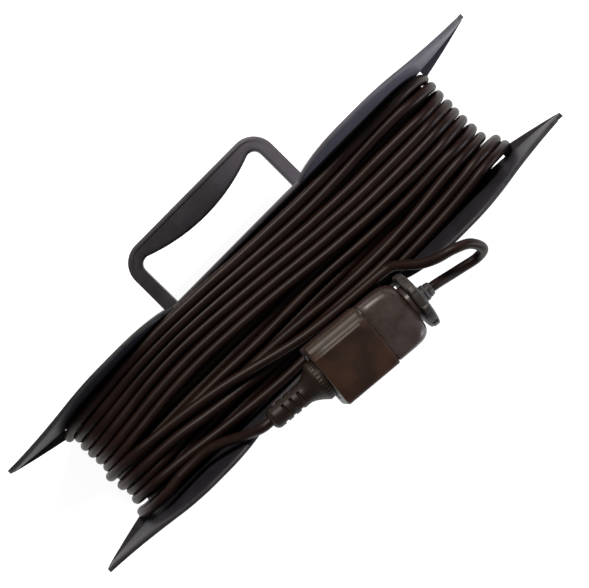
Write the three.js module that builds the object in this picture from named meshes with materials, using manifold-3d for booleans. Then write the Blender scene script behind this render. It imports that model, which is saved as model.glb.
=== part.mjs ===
// Frame-type extension cord reel, lying on its back: two splayed cheeks, one with a moulded
// handle, a winding core screwed between them, the cable wound lengthwise round the core, and
// the trailing socket with the moulded plug pushed into it, resting on the edge of one cheek.
// +X runs along the reel, +Y towards the handle, +Z up. Millimetres.
import * as THREE from 'three';
import { mergeVertices } from 'three/addons/utils/BufferGeometryUtils.js';
import Module from 'manifold-3d';

const wasm = await Module();
wasm.setup();

// ---------------------------------------------------------------- driving dimensions
const FIT = 0.3; // gap kept between pieces that touch

// Cable and winding
const CABLE_D = 6.2;
const TURNS_ACROSS = 11;
const LAYERS = 3;

// Winding core
const SADDLE_R = 9;
const SADDLE_SPACING = 248;
const WEB_T = 5;

// Cheeks
const REEL_LENGTH = 382;
const CHEEK_DEPTH = 92;
const CHEEK_WALL = 3;
const CHEEK_SPLAY_DEG = 15;
const SPINE_DEPTH = 10; // flat strip along the middle of a cheek
const WAIST_LENGTH = 104;
const WAIST_DEPTH = 47.5;
const SHOULDER_RUN = 14; // how far past the waist the edge climbs before it turns over
const SWELL_SPACING = 200; // between the two deepest places
const SWELL_FLAT = 12;
const TAPER_SPACING = 274; // between the starts of the straight tapers
const TAPER_DEPTH = 74;
const TIP_DEPTH = 12;
const CURL_SPACING = 220; // the horns curl outwards beyond this
const TIP_CURL = 5.6;
const HORN_RIB_WIDTH = 5;
const HORN_RIB_T = 3;

// Handle
const HANDLE_WIDTH = 114.5;
const HANDLE_REACH = 46; // from the cheek to the far side of the grip
const ARM_WIDTH = 8.7;
const GRIP_WIDTH = 17.4; // in the middle
const GRIP_END_WIDTH = 9.5;
const HANDLE_DEPTH = 22;
const HANDLE_CORNER_R = 15;
const PALM_CORNER_R = 6;
const ROOT_FILLET = 5;
const HANDLE_EDGE_R = 2.5;

// Cheek screws
const CHEEK_SCREW_D = 4;
const CHEEK_SCREW_LENGTH = 22;
const CHEEK_SCREW_HEAD_D = 7.6;

// Place of the coupled socket and plug: the socket's mouth, and how its axis is turned
const MOUTH_X = -19;
const MOUTH_OVERHANG = 11.1; // outside the cheek
const COUPLING_YAW_DEG = 5.8;
const COUPLING_PITCH_DEG = 5;
const SOCKET_NESTLE = 2.2; // how far its round edge sinks beside the top of the winding

// Socket housing
const FRONT_LENGTH = 38.7;
const FRONT_WIDTH = 41.5;
const FRONT_HEIGHT = 38;
const FRONT_CORNER_R = 7;
const REAR_LENGTH = 25.5;
const REAR_WIDTH = 40;
const REAR_HEIGHT = 36.6;
const REAR_SHOULDER_R = 5;
const HOUSING_WALL = 2.5;
const RECESS_DEPTH = 9;
const PARTITION_T = 2.5;
const NECK_D = 26;
const NECK_LENGTH = 2.7;
const CAP_D = 36.8;
const CAP_T = 5.8;
const CAP_LUGS = 8;
const CAP_LUG_H = 1.1;
const CAP_LUG_W = 4;
const GLAND_D = 12;
const GLAND_NOSE = 3.2;

// Contacts
const PIN_D = 4;
const PIN_REACH = 19; // ahead of the plug's face
const PIN_SPACING = 19;
const PIN_TAIL = 9.5; // inside the plug
const SLEEVE_D = 7;
const TERMINAL_SIDE = 8;
const CARRIER_T = 10;
const CARRIER_WIDTH = 33;
const CARRIER_HEIGHT = 18;
const CORE_D = 2.4;

// Small screws
const SMALL_SCREW_D = 3;
const SMALL_HEAD_D = 5.4;
const SMALL_HEAD_H = 2;
const TERMINAL_SCREW_LENGTH = 3.2;
const SHELL_SCREW_LENGTH = 34;
const SHELL_SCREW_Y = 15.2;
const SHELL_SCREW_Z = -12.6;
const SHELL_POST_D = 7;
const SCREW_HEAD_DEPTH = 3.5; // of the counterbore in the rear shell

// Cord clamp
const CLAMP_X = 49; // middle of the clamp, from the mouth
const CLAMP_RUN = 8;
const CLAMP_WIDTH = 22;
const CLAMP_T = 4.5;
const CLAMP_SCREW_Y = 7.4;
const CLAMP_SCREW_LENGTH = 15;

// Plug
const PLUG_D = 27;
const PLUG_BAND_D = 25;
const PLUG_BAND_LENGTH = 5;
const PLUG_CONE_LENGTH = 10;
const PLUG_NECK_D = 13.8;
const PLUG_NECK_LENGTH = 21.5;
const PLUG_SLOTS = 3;
const PLUG_SLOT_PITCH = 5.7;
const PLUG_SLOT_WIDTH = 2;
const PLUG_SLOT_DEPTH = 2.1;
const BRIDGE_D = 23.4; // carries both pins inside the plug's face
const BRIDGE_T = 6;

// ---------------------------------------------------------------- derived sizes
const rad = THREE.MathUtils.degToRad;
const lerp = THREE.MathUtils.lerp;
const cableR = CABLE_D / 2;
const packWidth = TURNS_ACROSS * CABLE_D;
const layerPitch = (CABLE_D * Math.sqrt(3)) / 2;
const packHalfThickness = SADDLE_R + CABLE_D + (LAYERS - 1) * layerPitch;
const packHalfLength = SADDLE_SPACING / 2 + packHalfThickness;
const innerHalfWidth = packWidth / 2 + FIT;
const outerHalfWidth = innerHalfWidth + CHEEK_WALL;
const splay = Math.tan(rad(CHEEK_SPLAY_DEG));
const spineHalf = SPINE_DEPTH / 2;
const gripY = outerHalfWidth + HANDLE_REACH;
const edgeY = outerHalfWidth + splay * (CHEEK_DEPTH / 2 - spineHalf);

const capX = FRONT_LENGTH + REAR_LENGTH + NECK_LENGTH + 2 * FIT;
const plugFaceX = RECESS_DEPTH - FIT;
const sleeveX = RECESS_DEPTH + PARTITION_T + FIT;
const terminalX = plugFaceX + PIN_REACH + FIT;
const plugEndX = -(PLUG_BAND_LENGTH + PLUG_CONE_LENGTH + PLUG_NECK_LENGTH + PLUG_NECK_D / 4);

const material = (color, roughness, metalness = 0) =>
  new THREE.MeshStandardMaterial({ color, roughness, metalness });
const charcoal = () => material(0x1b1c20, 0.45);
const cableBlack = () => material(0x1c1614, 0.5);
const brownGloss = () => material(0x3a241b, 0.22);
const blackRubber = () => material(0x141414, 0.55);
const brass = () => material(0xb08a46, 0.3, 1);
const steel = () => material(0xa9abad, 0.35, 1);

// ---------------------------------------------------------------- solid helpers
/** The closed mesh of a geometry, as a solid that can be joined and cut. */
function solid(geometry) {
  const bare = new THREE.BufferGeometry();
  bare.setAttribute('position', geometry.getAttribute('position'));
  bare.setIndex(geometry.index);
  const merged = mergeVertices(bare, 1e-4);
  const corners = merged.index.array;
  const triVerts = [];
  for (let i = 0; i < corners.length; i += 3) {
    const [a, b, c] = corners.slice(i, i + 3);
    if (a !== b && b !== c && c !== a) triVerts.push(a, b, c);
  }
  const vertProperties = merged.getAttribute('position').array;
  return new wasm.Manifold(
    new wasm.Mesh({ numProp: 3, vertProperties, triVerts: Uint32Array.from(triVerts) }),
  );
}

/** One named piece of the reel. */
function piece(name, body, look) {
  const { vertProperties, triVerts } = body.getMesh();
  const geometry = new THREE.BufferGeometry();
  geometry.setAttribute('position', new THREE.BufferAttribute(vertProperties, 3));
  geometry.setIndex(new THREE.BufferAttribute(triVerts, 1));
  geometry.computeVertexNormals();
  const mesh = new THREE.Mesh(geometry, look);
  mesh.name = name;
  return mesh;
}

/** A box between two corners. */
function box(low, high) {
  const size = high.map((v, i) => v - low[i]);
  const geometry = new THREE.BoxGeometry(...size);
  geometry.translate(...low.map((v, i) => v + size[i] / 2));
  return solid(geometry);
}

const X_AXIS = new THREE.Vector3(1, 0, 0);
const Y_AXIS = new THREE.Vector3(0, 1, 0);
const Z_AXIS = new THREE.Vector3(0, 0, 1);
const LATHE_TO_X = new THREE.Matrix4().makeBasis(Z_AXIS, X_AXIS, Y_AXIS);
const SKETCH_TO_X = new THREE.Matrix4().makeBasis(Y_AXIS, Z_AXIS, X_AXIS);

/** A turned piece on the X axis, from [x, radius] points that start and end on the axis. */
function turnedX(profile, segments = 24) {
  const points = profile.map(([x, r]) => new THREE.Vector2(r, x));
  return solid(new THREE.LatheGeometry(points, segments).applyMatrix4(LATHE_TO_X));
}

/** A plain cylinder along X. */
function rodX(x0, x1, r, segments = 24) {
  return turnedX([[x0, 0], [x0, r], [x1, r], [x1, 0]], segments);
}

/** A cylinder along Y, centred on x and z. */
function rodY(y0, y1, r, x, z, segments = 24) {
  const geometry = new THREE.CylinderGeometry(r, r, y1 - y0, segments);
  geometry.translate(x, (y0 + y1) / 2, z);
  return solid(geometry);
}

/** A cylinder along Z, centred on x and y. */
function rodZ(z0, z1, r, x, y, segments = 16) {
  const geometry = new THREE.CylinderGeometry(r, r, z1 - z0, segments);
  geometry.rotateX(Math.PI / 2);
  geometry.translate(x, y, (z0 + z1) / 2);
  return solid(geometry);
}

/** A rectangle with round corners, drawn across the X axis as (y, z). */
function roundedSection(width, height, r) {
  const [w, h] = [width / 2, height / 2];
  const shape = new THREE.Shape();
  shape.moveTo(-w + r, -h);
  shape.lineTo(w - r, -h);
  shape.absarc(w - r, -h + r, r, -Math.PI / 2, 0, false);
  shape.lineTo(w, h - r);
  shape.absarc(w - r, h - r, r, 0, Math.PI / 2, false);
  shape.lineTo(-w + r, h);
  shape.absarc(-w + r, h - r, r, Math.PI / 2, Math.PI, false);
  shape.lineTo(-w, -h + r);
  shape.absarc(-w + r, -h + r, r, Math.PI, 1.5 * Math.PI, false);
  return shape;
}

/** A bar of that section from x0 to x1. */
function roundedBar(x0, x1, width, height, r) {
  const section = roundedSection(width, height, r);
  const geometry = new THREE.ExtrudeGeometry(section, {
    depth: x1 - x0,
    bevelEnabled: false,
    curveSegments: 3,
  });
  geometry.applyMatrix4(SKETCH_TO_X);
  geometry.translate(x0, 0, 0);
  return solid(geometry);
}

/** A solid through a row of equal rings, each a flat loop of points at one x. */
function loft(rings) {
  const outline = rings[0].map((p) => new THREE.Vector2(p.y, p.z));
  const clockwise = THREE.ShapeUtils.isClockWise(outline);
  const loops = clockwise ? rings.map((ring) => [...ring].reverse()) : rings;
  const count = outline.length;
  const cap = (ring) =>
    THREE.ShapeUtils.triangulateShape(ring.map((p) => new THREE.Vector2(p.y, p.z)), []);
  const index = [];
  for (let i = 0; i + 1 < loops.length; i += 1) {
    for (let j = 0; j < count; j += 1) {
      const next = (j + 1) % count;
      const [a, b] = [i * count + j, i * count + next];
      const [c, d] = [b + count, a + count];
      index.push(a, b, c, a, c, d);
    }
  }
  const last = (loops.length - 1) * count;
  cap(loops[0]).forEach(([a, b, c]) => index.push(a, c, b));
  cap(loops.at(-1)).forEach(([a, b, c]) => index.push(last + a, last + b, last + c));
  const geometry = new THREE.BufferGeometry().setFromPoints(loops.flat());
  geometry.setIndex(index);
  return solid(geometry);
}

/** A slotted screw along X: head from -headHeight to 0, shank from 0 to its length. */
function screw(shankD, length, headD, headHeight) {
  const profile = [
    [-headHeight, 0],
    [-headHeight, headD / 2 - headHeight / 3],
    [-headHeight / 2, headD / 2],
    [0, headD / 2],
    [0, shankD / 2],
    [length - shankD / 2, shankD / 2],
    [length, 0],
  ];
  const slotHalf = shankD / 10;
  const slot = box([-headHeight - 1, -headD, -slotHalf], [-headHeight / 2, headD, slotHalf]);
  return turnedX(profile, 12).subtract(slot);
}

// ---------------------------------------------------------------- frame of the reel
/** Outward curl of a horn at x. */
function curlAt(x) {
  const start = CURL_SPACING / 2;
  const past = Math.max(0, Math.abs(x) - start) / (REEL_LENGTH / 2 - start);
  return TIP_CURL * past * past;
}

/** The edge of a cheek from tip to tip, as points (x, half depth). */
function cheekEdge() {
  const full = CHEEK_DEPTH / 2;
  const waist = WAIST_LENGTH / 2;
  const flatStart = SWELL_SPACING / 2 - SWELL_FLAT / 2;
  const flatEnd = SWELL_SPACING / 2 + SWELL_FLAT / 2;
  const taper = TAPER_SPACING / 2;
  const edge = new THREE.Path();
  edge.moveTo(0, WAIST_DEPTH / 2);
  edge.lineTo(waist, WAIST_DEPTH / 2);
  edge.quadraticCurveTo(waist + SHOULDER_RUN, full - 1, flatStart, full);
  edge.lineTo(flatEnd, full);
  edge.quadraticCurveTo((flatEnd + taper) / 2, full, taper, TAPER_DEPTH / 2);
  const taperSteps = 5;
  for (let i = 1; i <= taperSteps; i += 1) {
    const t = i / taperSteps;
    edge.lineTo(lerp(taper, REEL_LENGTH / 2, t), lerp(TAPER_DEPTH, TIP_DEPTH, t) / 2);
  }
  const half = edge.getPoints(5);
  const mirrored = half.slice(1).reverse().map((p) => new THREE.Vector2(-p.x, p.y));
  return [...mirrored, ...half];
}

/** A bare cheek on the +Y or -Y side: a blade folded along its middle, open outwards. */
function cheekBlade(side) {
  const rings = cheekEdge().map(({ x, y: half }) => {
    const inner = innerHalfWidth + curlAt(x);
    const flat = Math.min(spineHalf, 0.75 * half);
    const lip = inner + splay * (half - flat);
    const loop = [
      [lip, -half],
      [inner, -flat],
      [inner, flat],
      [lip, half],
      [lip + CHEEK_WALL, half],
      [inner + CHEEK_WALL, flat],
      [inner + CHEEK_WALL, -flat],
      [lip + CHEEK_WALL, -half],
    ];
    return loop.map(([y, z]) => new THREE.Vector3(x, side * y, z));
  });
  return loft(rings);
}

/** The web that stiffens the inner side of one horn. */
function hornRib(side, end) {
  const start = packHalfLength + FIT;
  const tip = REEL_LENGTH / 2;
  const startY = innerHalfWidth + curlAt(start);
  const tipY = innerHalfWidth + curlAt(tip);
  const outline = new THREE.Shape();
  outline.moveTo(end * start, side * (startY + CHEEK_WALL / 2));
  outline.lineTo(end * start, side * (startY - HORN_RIB_WIDTH));
  outline.lineTo(end * tip, side * tipY);
  outline.lineTo(end * tip, side * (tipY + CHEEK_WALL / 2));
  const geometry = new THREE.ExtrudeGeometry(outline, { depth: HORN_RIB_T, bevelEnabled: false });
  geometry.translate(0, 0, -HORN_RIB_T / 2);
  return solid(geometry);
}

/** A cheek with its ribs, and for each screw a clearance hole and a flat seat for the head. */
function cheek(side) {
  const across = (from, to, r, x) =>
    rodY(Math.min(side * from, side * to), Math.max(side * from, side * to), r, x, 0);
  let body = cheekBlade(side);
  for (const end of [-1, 1]) {
    const x = (end * SADDLE_SPACING) / 2;
    const hole = across(innerHalfWidth - 1, outerHalfWidth + 1, CHEEK_SCREW_D / 2 + FIT, x);
    const seat = across(outerHalfWidth, outerHalfWidth + CHEEK_WALL, CHEEK_SCREW_HEAD_D / 2 + FIT, x);
    body = body.add(hornRib(side, end)).subtract(hole).subtract(seat);
  }
  return body;
}

/** The handle: two arms and a grip that swells towards the palm. */
function handle() {
  const [w, inner] = [HANDLE_WIDTH / 2, HANDLE_WIDTH / 2 - ARM_WIDTH];
  const root = outerHalfWidth - CHEEK_WALL / 3;
  const palmEnd = gripY - GRIP_END_WIDTH;
  const palmMiddle = 2 * (gripY - GRIP_WIDTH) - palmEnd; // pulls the curve to the full width
  const outline = new THREE.Shape();
  outline.moveTo(-w, root);
  outline.lineTo(-w, gripY - HANDLE_CORNER_R);
  outline.absarc(-w + HANDLE_CORNER_R, gripY - HANDLE_CORNER_R, HANDLE_CORNER_R,
    Math.PI, Math.PI / 2, true);
  outline.lineTo(w - HANDLE_CORNER_R, gripY);
  outline.absarc(w - HANDLE_CORNER_R, gripY - HANDLE_CORNER_R, HANDLE_CORNER_R,
    Math.PI / 2, 0, true);
  outline.lineTo(w, root);
  outline.lineTo(inner, root);
  outline.lineTo(inner, palmEnd - PALM_CORNER_R);
  outline.quadraticCurveTo(inner, palmEnd, inner - PALM_CORNER_R, palmEnd);
  outline.quadraticCurveTo(0, palmMiddle, -inner + PALM_CORNER_R, palmEnd);
  outline.quadraticCurveTo(-inner, palmEnd, -inner, palmEnd - PALM_CORNER_R);
  outline.lineTo(-inner, root);
  const geometry = new THREE.ExtrudeGeometry(outline, {
    depth: HANDLE_DEPTH - 2 * HANDLE_EDGE_R,
    bevelThickness: HANDLE_EDGE_R,
    bevelSize: HANDLE_EDGE_R,
    bevelOffset: -HANDLE_EDGE_R,
    bevelSegments: 2,
    curveSegments: 6,
  });
  geometry.translate(0, 0, HANDLE_EDGE_R - HANDLE_DEPTH / 2);
  return solid(geometry);
}

/** The concave fillets in the four corners between the arms and the cheek. */
function rootFillets() {
  const root = outerHalfWidth - CHEEK_WALL / 3;
  const rise = outerHalfWidth + ROOT_FILLET;
  const depth = HANDLE_DEPTH - 2 * HANDLE_EDGE_R;
  const faces = [HANDLE_WIDTH / 2, HANDLE_WIDTH / 2 - ARM_WIDTH];
  const wedges = [];
  for (const side of [-1, 1]) {
    for (const [face, away] of [[faces[0], 1], [faces[1], -1]]) {
      const outline = new THREE.Shape();
      outline.moveTo(side * (face - away), root);
      outline.lineTo(side * (face + away * ROOT_FILLET), root);
      outline.lineTo(side * (face + away * ROOT_FILLET), outerHalfWidth);
      outline.quadraticCurveTo(side * face, outerHalfWidth, side * face, rise);
      outline.lineTo(side * (face - away), rise);
      const options = { depth, bevelEnabled: false, curveSegments: 4 };
      const geometry = new THREE.ExtrudeGeometry(outline, options);
      geometry.translate(0, 0, -depth / 2);
      wedges.push(solid(geometry));
    }
  }
  return wedges;
}

/** The core: a web between two round saddles, with a pilot hole for each cheek screw. */
function windingCore() {
  const reach = SADDLE_SPACING / 2;
  const y = innerHalfWidth - FIT;
  let body = box([-reach, -y, -WEB_T / 2], [reach, y, WEB_T / 2]);
  for (const x of [-reach, reach]) {
    body = body.add(rodY(-y, y, SADDLE_R, x, 0));
  }
  const depth = CHEEK_SCREW_LENGTH - CHEEK_WALL;
  for (const x of [-reach, reach]) {
    const pilot = CHEEK_SCREW_D / 2 + FIT;
    body = body.subtract(rodY(-y - 1, -y + depth, pilot, x, 0, 16));
    body = body.subtract(rodY(y - depth, y + 1, pilot, x, 0, 16));
  }
  return body;
}

/** An outline with two straight sides and round ends. */
function racetrack(Outline, half, r) {
  const track = new Outline();
  track.moveTo(-half, -r);
  track.lineTo(half, -r);
  track.absarc(half, 0, r, -Math.PI / 2, Math.PI / 2, false);
  track.lineTo(-half, r);
  track.absarc(-half, 0, r, Math.PI / 2, 1.5 * Math.PI, false);
  return track;
}

/** The outer shape of all the turns together, open where the core is. */
function winding() {
  const section = racetrack(THREE.Shape, SADDLE_SPACING / 2, packHalfThickness);
  section.holes.push(racetrack(THREE.Path, SADDLE_SPACING / 2, SADDLE_R + FIT));
  const geometry = new THREE.ExtrudeGeometry(section, {
    depth: packWidth,
    bevelEnabled: false,
    curveSegments: 8,
  });
  geometry.rotateX(Math.PI / 2);
  geometry.translate(0, packWidth / 2, 0);
  return solid(geometry);
}

// ---------------------------------------------------------------- socket
/** The front shell: round recess, partition with two pin holes, hollow behind it. */
function socketFrontShell() {
  const hollowWidth = FRONT_WIDTH - 2 * HOUSING_WALL;
  const hollowHeight = FRONT_HEIGHT - 2 * HOUSING_WALL;
  const hollowR = FRONT_CORNER_R - HOUSING_WALL;
  const recessR = PLUG_D / 2 + FIT;
  const partitionX = RECESS_DEPTH + PARTITION_T;
  const well = rodX(0, partitionX, recessR + HOUSING_WALL);
  const hollow = roundedBar(HOUSING_WALL, FRONT_LENGTH + 1, hollowWidth, hollowHeight, hollowR);
  let body = roundedBar(0, FRONT_LENGTH, FRONT_WIDTH, FRONT_HEIGHT, FRONT_CORNER_R);
  body = body.subtract(hollow.subtract(well));
  const postStart = FRONT_LENGTH + REAR_LENGTH - SCREW_HEAD_DEPTH - SHELL_SCREW_LENGTH;
  for (const side of [-1, 1]) {
    const at = [0, side * SHELL_SCREW_Y, SHELL_SCREW_Z];
    body = body.add(rodX(partitionX, FRONT_LENGTH, SHELL_POST_D / 2, 16).translate(at));
  }
  for (const side of [-1, 1]) {
    const at = [0, side * SHELL_SCREW_Y, SHELL_SCREW_Z];
    const pilot = rodX(postStart - 1, FRONT_LENGTH + 1, SMALL_SCREW_D / 2 + FIT, 12);
    body = body.subtract(pilot.translate(at));
    const pinHole = rodX(0, partitionX + 1, PIN_D / 2 + FIT, 16);
    body = body.subtract(pinHole.translate([0, (side * PIN_SPACING) / 2, 0]));
  }
  return body.subtract(rodX(-1, RECESS_DEPTH, recessR, 32));
}

/** The rear shell: round shoulder, neck for the cap, saddle for the cord clamp. */
function socketRearShell() {
  const x0 = FRONT_LENGTH + FIT;
  const x1 = x0 + REAR_LENGTH;
  const section = roundedSection(REAR_WIDTH - 2 * REAR_SHOULDER_R,
    REAR_HEIGHT - 2 * REAR_SHOULDER_R, FRONT_CORNER_R / 2);
  const shouldered = new THREE.ExtrudeGeometry(section, {
    depth: REAR_LENGTH,
    bevelThickness: REAR_SHOULDER_R,
    bevelSize: REAR_SHOULDER_R,
    bevelSegments: 4,
    curveSegments: 3,
  });
  shouldered.applyMatrix4(SKETCH_TO_X);
  shouldered.translate(x0 - REAR_SHOULDER_R, 0, 0);
  const far = REAR_WIDTH;
  let body = solid(shouldered).subtract(box([x0 - 2 * far, -far, -far], [x0, far, far]));
  body = body.add(rodX(x1 - REAR_SHOULDER_R, x1 + NECK_LENGTH, NECK_D / 2));
  const hollowWidth = REAR_WIDTH - 2 * HOUSING_WALL;
  const hollowHeight = REAR_HEIGHT - 2 * HOUSING_WALL;
  const hollowEnd = x1 - HOUSING_WALL - REAR_SHOULDER_R / 2;
  const hollow = roundedBar(x0 - 1, hollowEnd, hollowWidth, hollowHeight,
    FRONT_CORNER_R - HOUSING_WALL);
  let kept = box([CLAMP_X - CLAMP_RUN / 2, -CLAMP_WIDTH / 2, -REAR_HEIGHT / 2],
    [CLAMP_X + CLAMP_RUN / 2, CLAMP_WIDTH / 2, -cableR - FIT]);
  for (const side of [-1, 1]) {
    const at = [0, side * SHELL_SCREW_Y, SHELL_SCREW_Z];
    kept = kept.add(rodX(x0, x1, SHELL_POST_D / 2, 16).translate(at));
  }
  body = body.subtract(hollow.subtract(kept));
  for (const side of [-1, 1]) {
    const at = [0, side * SHELL_SCREW_Y, SHELL_SCREW_Z];
    const headX = x1 - SCREW_HEAD_DEPTH;
    body = body.subtract(rodX(x0 - 1, x1, SMALL_SCREW_D / 2 + FIT, 12).translate(at));
    body = body.subtract(rodX(headX, x1 + 1, SMALL_HEAD_D / 2 + FIT, 16).translate(at));
    const clampHole = rodZ(clampHeadZ - CLAMP_SCREW_LENGTH - FIT, 0,
      SMALL_SCREW_D / 2 + FIT, CLAMP_X, side * CLAMP_SCREW_Y, 12);
    body = body.subtract(clampHole);
  }
  return body.subtract(rodX(hollowEnd - 1, x1 + NECK_LENGTH + 1, GLAND_D / 2 + FIT));
}

/** The insulating block that holds both contact sleeves. */
function contactCarrier() {
  let body = roundedBar(sleeveX, sleeveX + CARRIER_T, CARRIER_WIDTH, CARRIER_HEIGHT, 3);
  for (const side of [-1, 1]) {
    const hole = rodX(sleeveX - 1, sleeveX + CARRIER_T + 1, SLEEVE_D / 2 + FIT, 16);
    body = body.subtract(hole.translate([0, (side * PIN_SPACING) / 2, 0]));
  }
  return body;
}

/** A contact: a sleeve for one pin, and a terminal block with a screw hole and a core hole. */
function contact() {
  const half = TERMINAL_SIDE / 2;
  const sleeve = rodX(sleeveX, terminalX + 1, SLEEVE_D / 2, 16);
  const block = box([terminalX, -half, -half], [terminalX + TERMINAL_SIDE, half, half]);
  const middle = terminalX + half;
  return sleeve
    .add(block)
    .subtract(rodX(sleeveX - 1, terminalX, PIN_D / 2 + FIT, 16))
    .subtract(rodX(middle, terminalX + TERMINAL_SIDE + 1, CORE_D / 2 + FIT, 12))
    .subtract(rodZ(half - TERMINAL_SCREW_LENGTH - FIT, half + 1, SMALL_SCREW_D / 2 + FIT,
      middle - CORE_D / 4, 0, 12));
}

/** The bar that presses the cable on its saddle. */
function clampBar() {
  let bar = box([CLAMP_X - CLAMP_RUN / 2, -CLAMP_WIDTH / 2, cableR + FIT],
    [CLAMP_X + CLAMP_RUN / 2, CLAMP_WIDTH / 2, cableR + FIT + CLAMP_T]);
  for (const side of [-1, 1]) {
    bar = bar.subtract(rodZ(0, 3 * CLAMP_T, SMALL_SCREW_D / 2 + FIT,
      CLAMP_X, side * CLAMP_SCREW_Y, 12));
  }
  return bar;
}

/** The cap behind the neck: a disc with finger lugs round its rim. */
function endCap() {
  let cap = turnedX([
    [capX, 0],
    [capX, CAP_D / 2 - 1],
    [capX + 1, CAP_D / 2],
    [capX + CAP_T - 1, CAP_D / 2],
    [capX + CAP_T, CAP_D / 2 - 1],
    [capX + CAP_T, 0],
  ], 32);
  for (let i = 0; i < CAP_LUGS; i += 1) {
    const lug = box([capX + 1, -CAP_LUG_W / 2, 0],
      [capX + CAP_T - 1, CAP_LUG_W / 2, CAP_D / 2 + CAP_LUG_H]);
    cap = cap.add(lug.rotate([(360 * (i + 0.5)) / CAP_LUGS, 0, 0]));
  }
  return cap.subtract(rodX(capX - 1, capX + CAP_T + 1, GLAND_D / 2 + FIT));
}

/** The rubber bush that the cable leaves through. */
function gland() {
  const x0 = FRONT_LENGTH + REAR_LENGTH - HOUSING_WALL;
  const x1 = capX + CAP_T + GLAND_NOSE;
  const [r, bore] = [GLAND_D / 2, cableR + FIT];
  return turnedX([[x0, 0], [x0, r], [x1 - GLAND_NOSE, r], [x1, bore + 1], [x1, 0]], 20)
    .subtract(rodX(x0 - 1, x1 + 1, bore, 16));
}

/** One insulated core from the cable's end to its terminal. */
function coreWire(side) {
  const y = (side * PIN_SPACING) / 2;
  const x0 = terminalX + TERMINAL_SIDE / 2 + FIT;
  const x1 = terminalX + TERMINAL_SIDE;
  const end = CLAMP_X - CLAMP_RUN / 2 - FIT;
  return tube(CORE_D, 8, 8, [
    [x0, y, 0],
    [x1, y, 0],
    [lerp(x1, end, 0.3), side * (Math.abs(y) - 0.8), 0],
    [lerp(x1, end, 0.8), (side * CORE_D) / 2 + side * FIT, 0],
    [end, (side * CORE_D) / 2 + side * FIT, 0],
  ].map((p) => new THREE.Vector3(...p)));
}

// ---------------------------------------------------------------- plug
/** The moulded jacket: face band, cone, neck with relief slots, hollow for the bridge. */
function plugBody() {
  const [rim, band, neck] = [PLUG_D / 2, PLUG_BAND_D / 2, PLUG_NECK_D / 2];
  const bandX = -PLUG_BAND_LENGTH;
  const coneX = bandX - PLUG_CONE_LENGTH;
  const neckX = coneX - PLUG_NECK_LENGTH;
  const bore = cableR + FIT;
  let body = turnedX([
    [plugEndX, 0],
    [plugEndX, bore + 1],
    [lerp(plugEndX, neckX, 0.4), neck * 0.85],
    [neckX, neck],
    [coneX, neck],
    [lerp(coneX, bandX, 0.55), lerp(neck, band, 0.4)],
    [bandX, band],
    [-1.5, band],
    [-1.5, rim],
    [plugFaceX - 0.8, rim],
    [plugFaceX, rim - 0.8],
    [plugFaceX, 0],
  ]);
  for (let i = 0; i < PLUG_SLOTS; i += 1) {
    const x = coneX - PLUG_SLOT_PITCH * (i + 0.5);
    const half = PLUG_SLOT_WIDTH / 2;
    for (const side of [-1, 1]) {
      const upright = box([x - half, -neck / 2, neck - PLUG_SLOT_DEPTH], [x + half, neck / 2, neck + 1]);
      body = body.subtract(upright.rotate([side * 90 + 90, 0, 0]));
      body = body.subtract(upright.rotate([side * 90, 0, 0]).translate([-PLUG_SLOT_PITCH / 2, 0, 0]));
    }
  }
  const pocketX = plugFaceX - BRIDGE_T - FIT;
  const tailX = plugFaceX - PIN_TAIL - FIT;
  return body
    .subtract(rodX(pocketX, plugFaceX + 1, BRIDGE_D / 2 + FIT))
    .subtract(roundedBar(tailX, pocketX + 1, PIN_SPACING + PIN_D + 2 * FIT, PIN_D + 2 * FIT, 1))
    .subtract(rodX(plugEndX - 1, tailX + 1, bore, 16));
}

/** The hard bridge in the plug's face that spaces the pins. */
function plugBridge() {
  let bridge = rodX(plugFaceX - BRIDGE_T, plugFaceX, BRIDGE_D / 2);
  for (const side of [-1, 1]) {
    const hole = rodX(plugFaceX - BRIDGE_T - 1, plugFaceX + 1, PIN_D / 2 + FIT, 16);
    bridge = bridge.subtract(hole.translate([0, (side * PIN_SPACING) / 2, 0]));
  }
  return bridge;
}

/** One round pin with a blunt tip. */
function plugPin() {
  const r = PIN_D / 2;
  return turnedX([
    [plugFaceX - PIN_TAIL, 0],
    [plugFaceX - PIN_TAIL, r],
    [plugFaceX + PIN_REACH - 1.5, r],
    [plugFaceX + PIN_REACH, r / 2],
    [plugFaceX + PIN_REACH, 0],
  ], 16);
}

// ---------------------------------------------------------------- cables
/** A plain tube along a smooth route. */
function tube(diameter, sides, steps, points) {
  const section = new THREE.Shape();
  section.absarc(0, 0, diameter / 2, 0, 2 * Math.PI, false);
  const extrudePath = new THREE.CatmullRomCurve3(points, false, 'centripetal');
  const geometry = new THREE.ExtrudeGeometry(section, {
    steps,
    extrudePath,
    bevelEnabled: false,
    curveSegments: sides / 2,
  });
  return solid(geometry);
}

const clampHeadZ = cableR + FIT + CLAMP_T + FIT;

// The coupled socket and plug share one axis: local X, from the mouth to the cord's exit.
const pitch = rad(COUPLING_PITCH_DEG);
const heelX = FRONT_LENGTH + FIT + REAR_LENGTH - REAR_SHOULDER_R;
const heelDrop = heelX * Math.sin(pitch) + (REAR_HEIGHT / 2) * Math.cos(pitch);
const seatZ = Math.max(WAIST_DEPTH / 2, packHalfThickness - SOCKET_NESTLE) + FIT;
const coupling = new THREE.Group();
coupling.position.set(MOUTH_X, -outerHalfWidth - MOUTH_OVERHANG, seatZ + heelDrop);
coupling.rotation.set(0, pitch, -rad(COUPLING_YAW_DEG), 'ZYX');
coupling.updateMatrix();
const onAxis = (x) => new THREE.Vector3(x, 0, 0).applyMatrix4(coupling.matrix);

const glandEndX = capX + CAP_T + GLAND_NOSE;
const leadOnPackZ = packHalfThickness + cableR + FIT;

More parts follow.
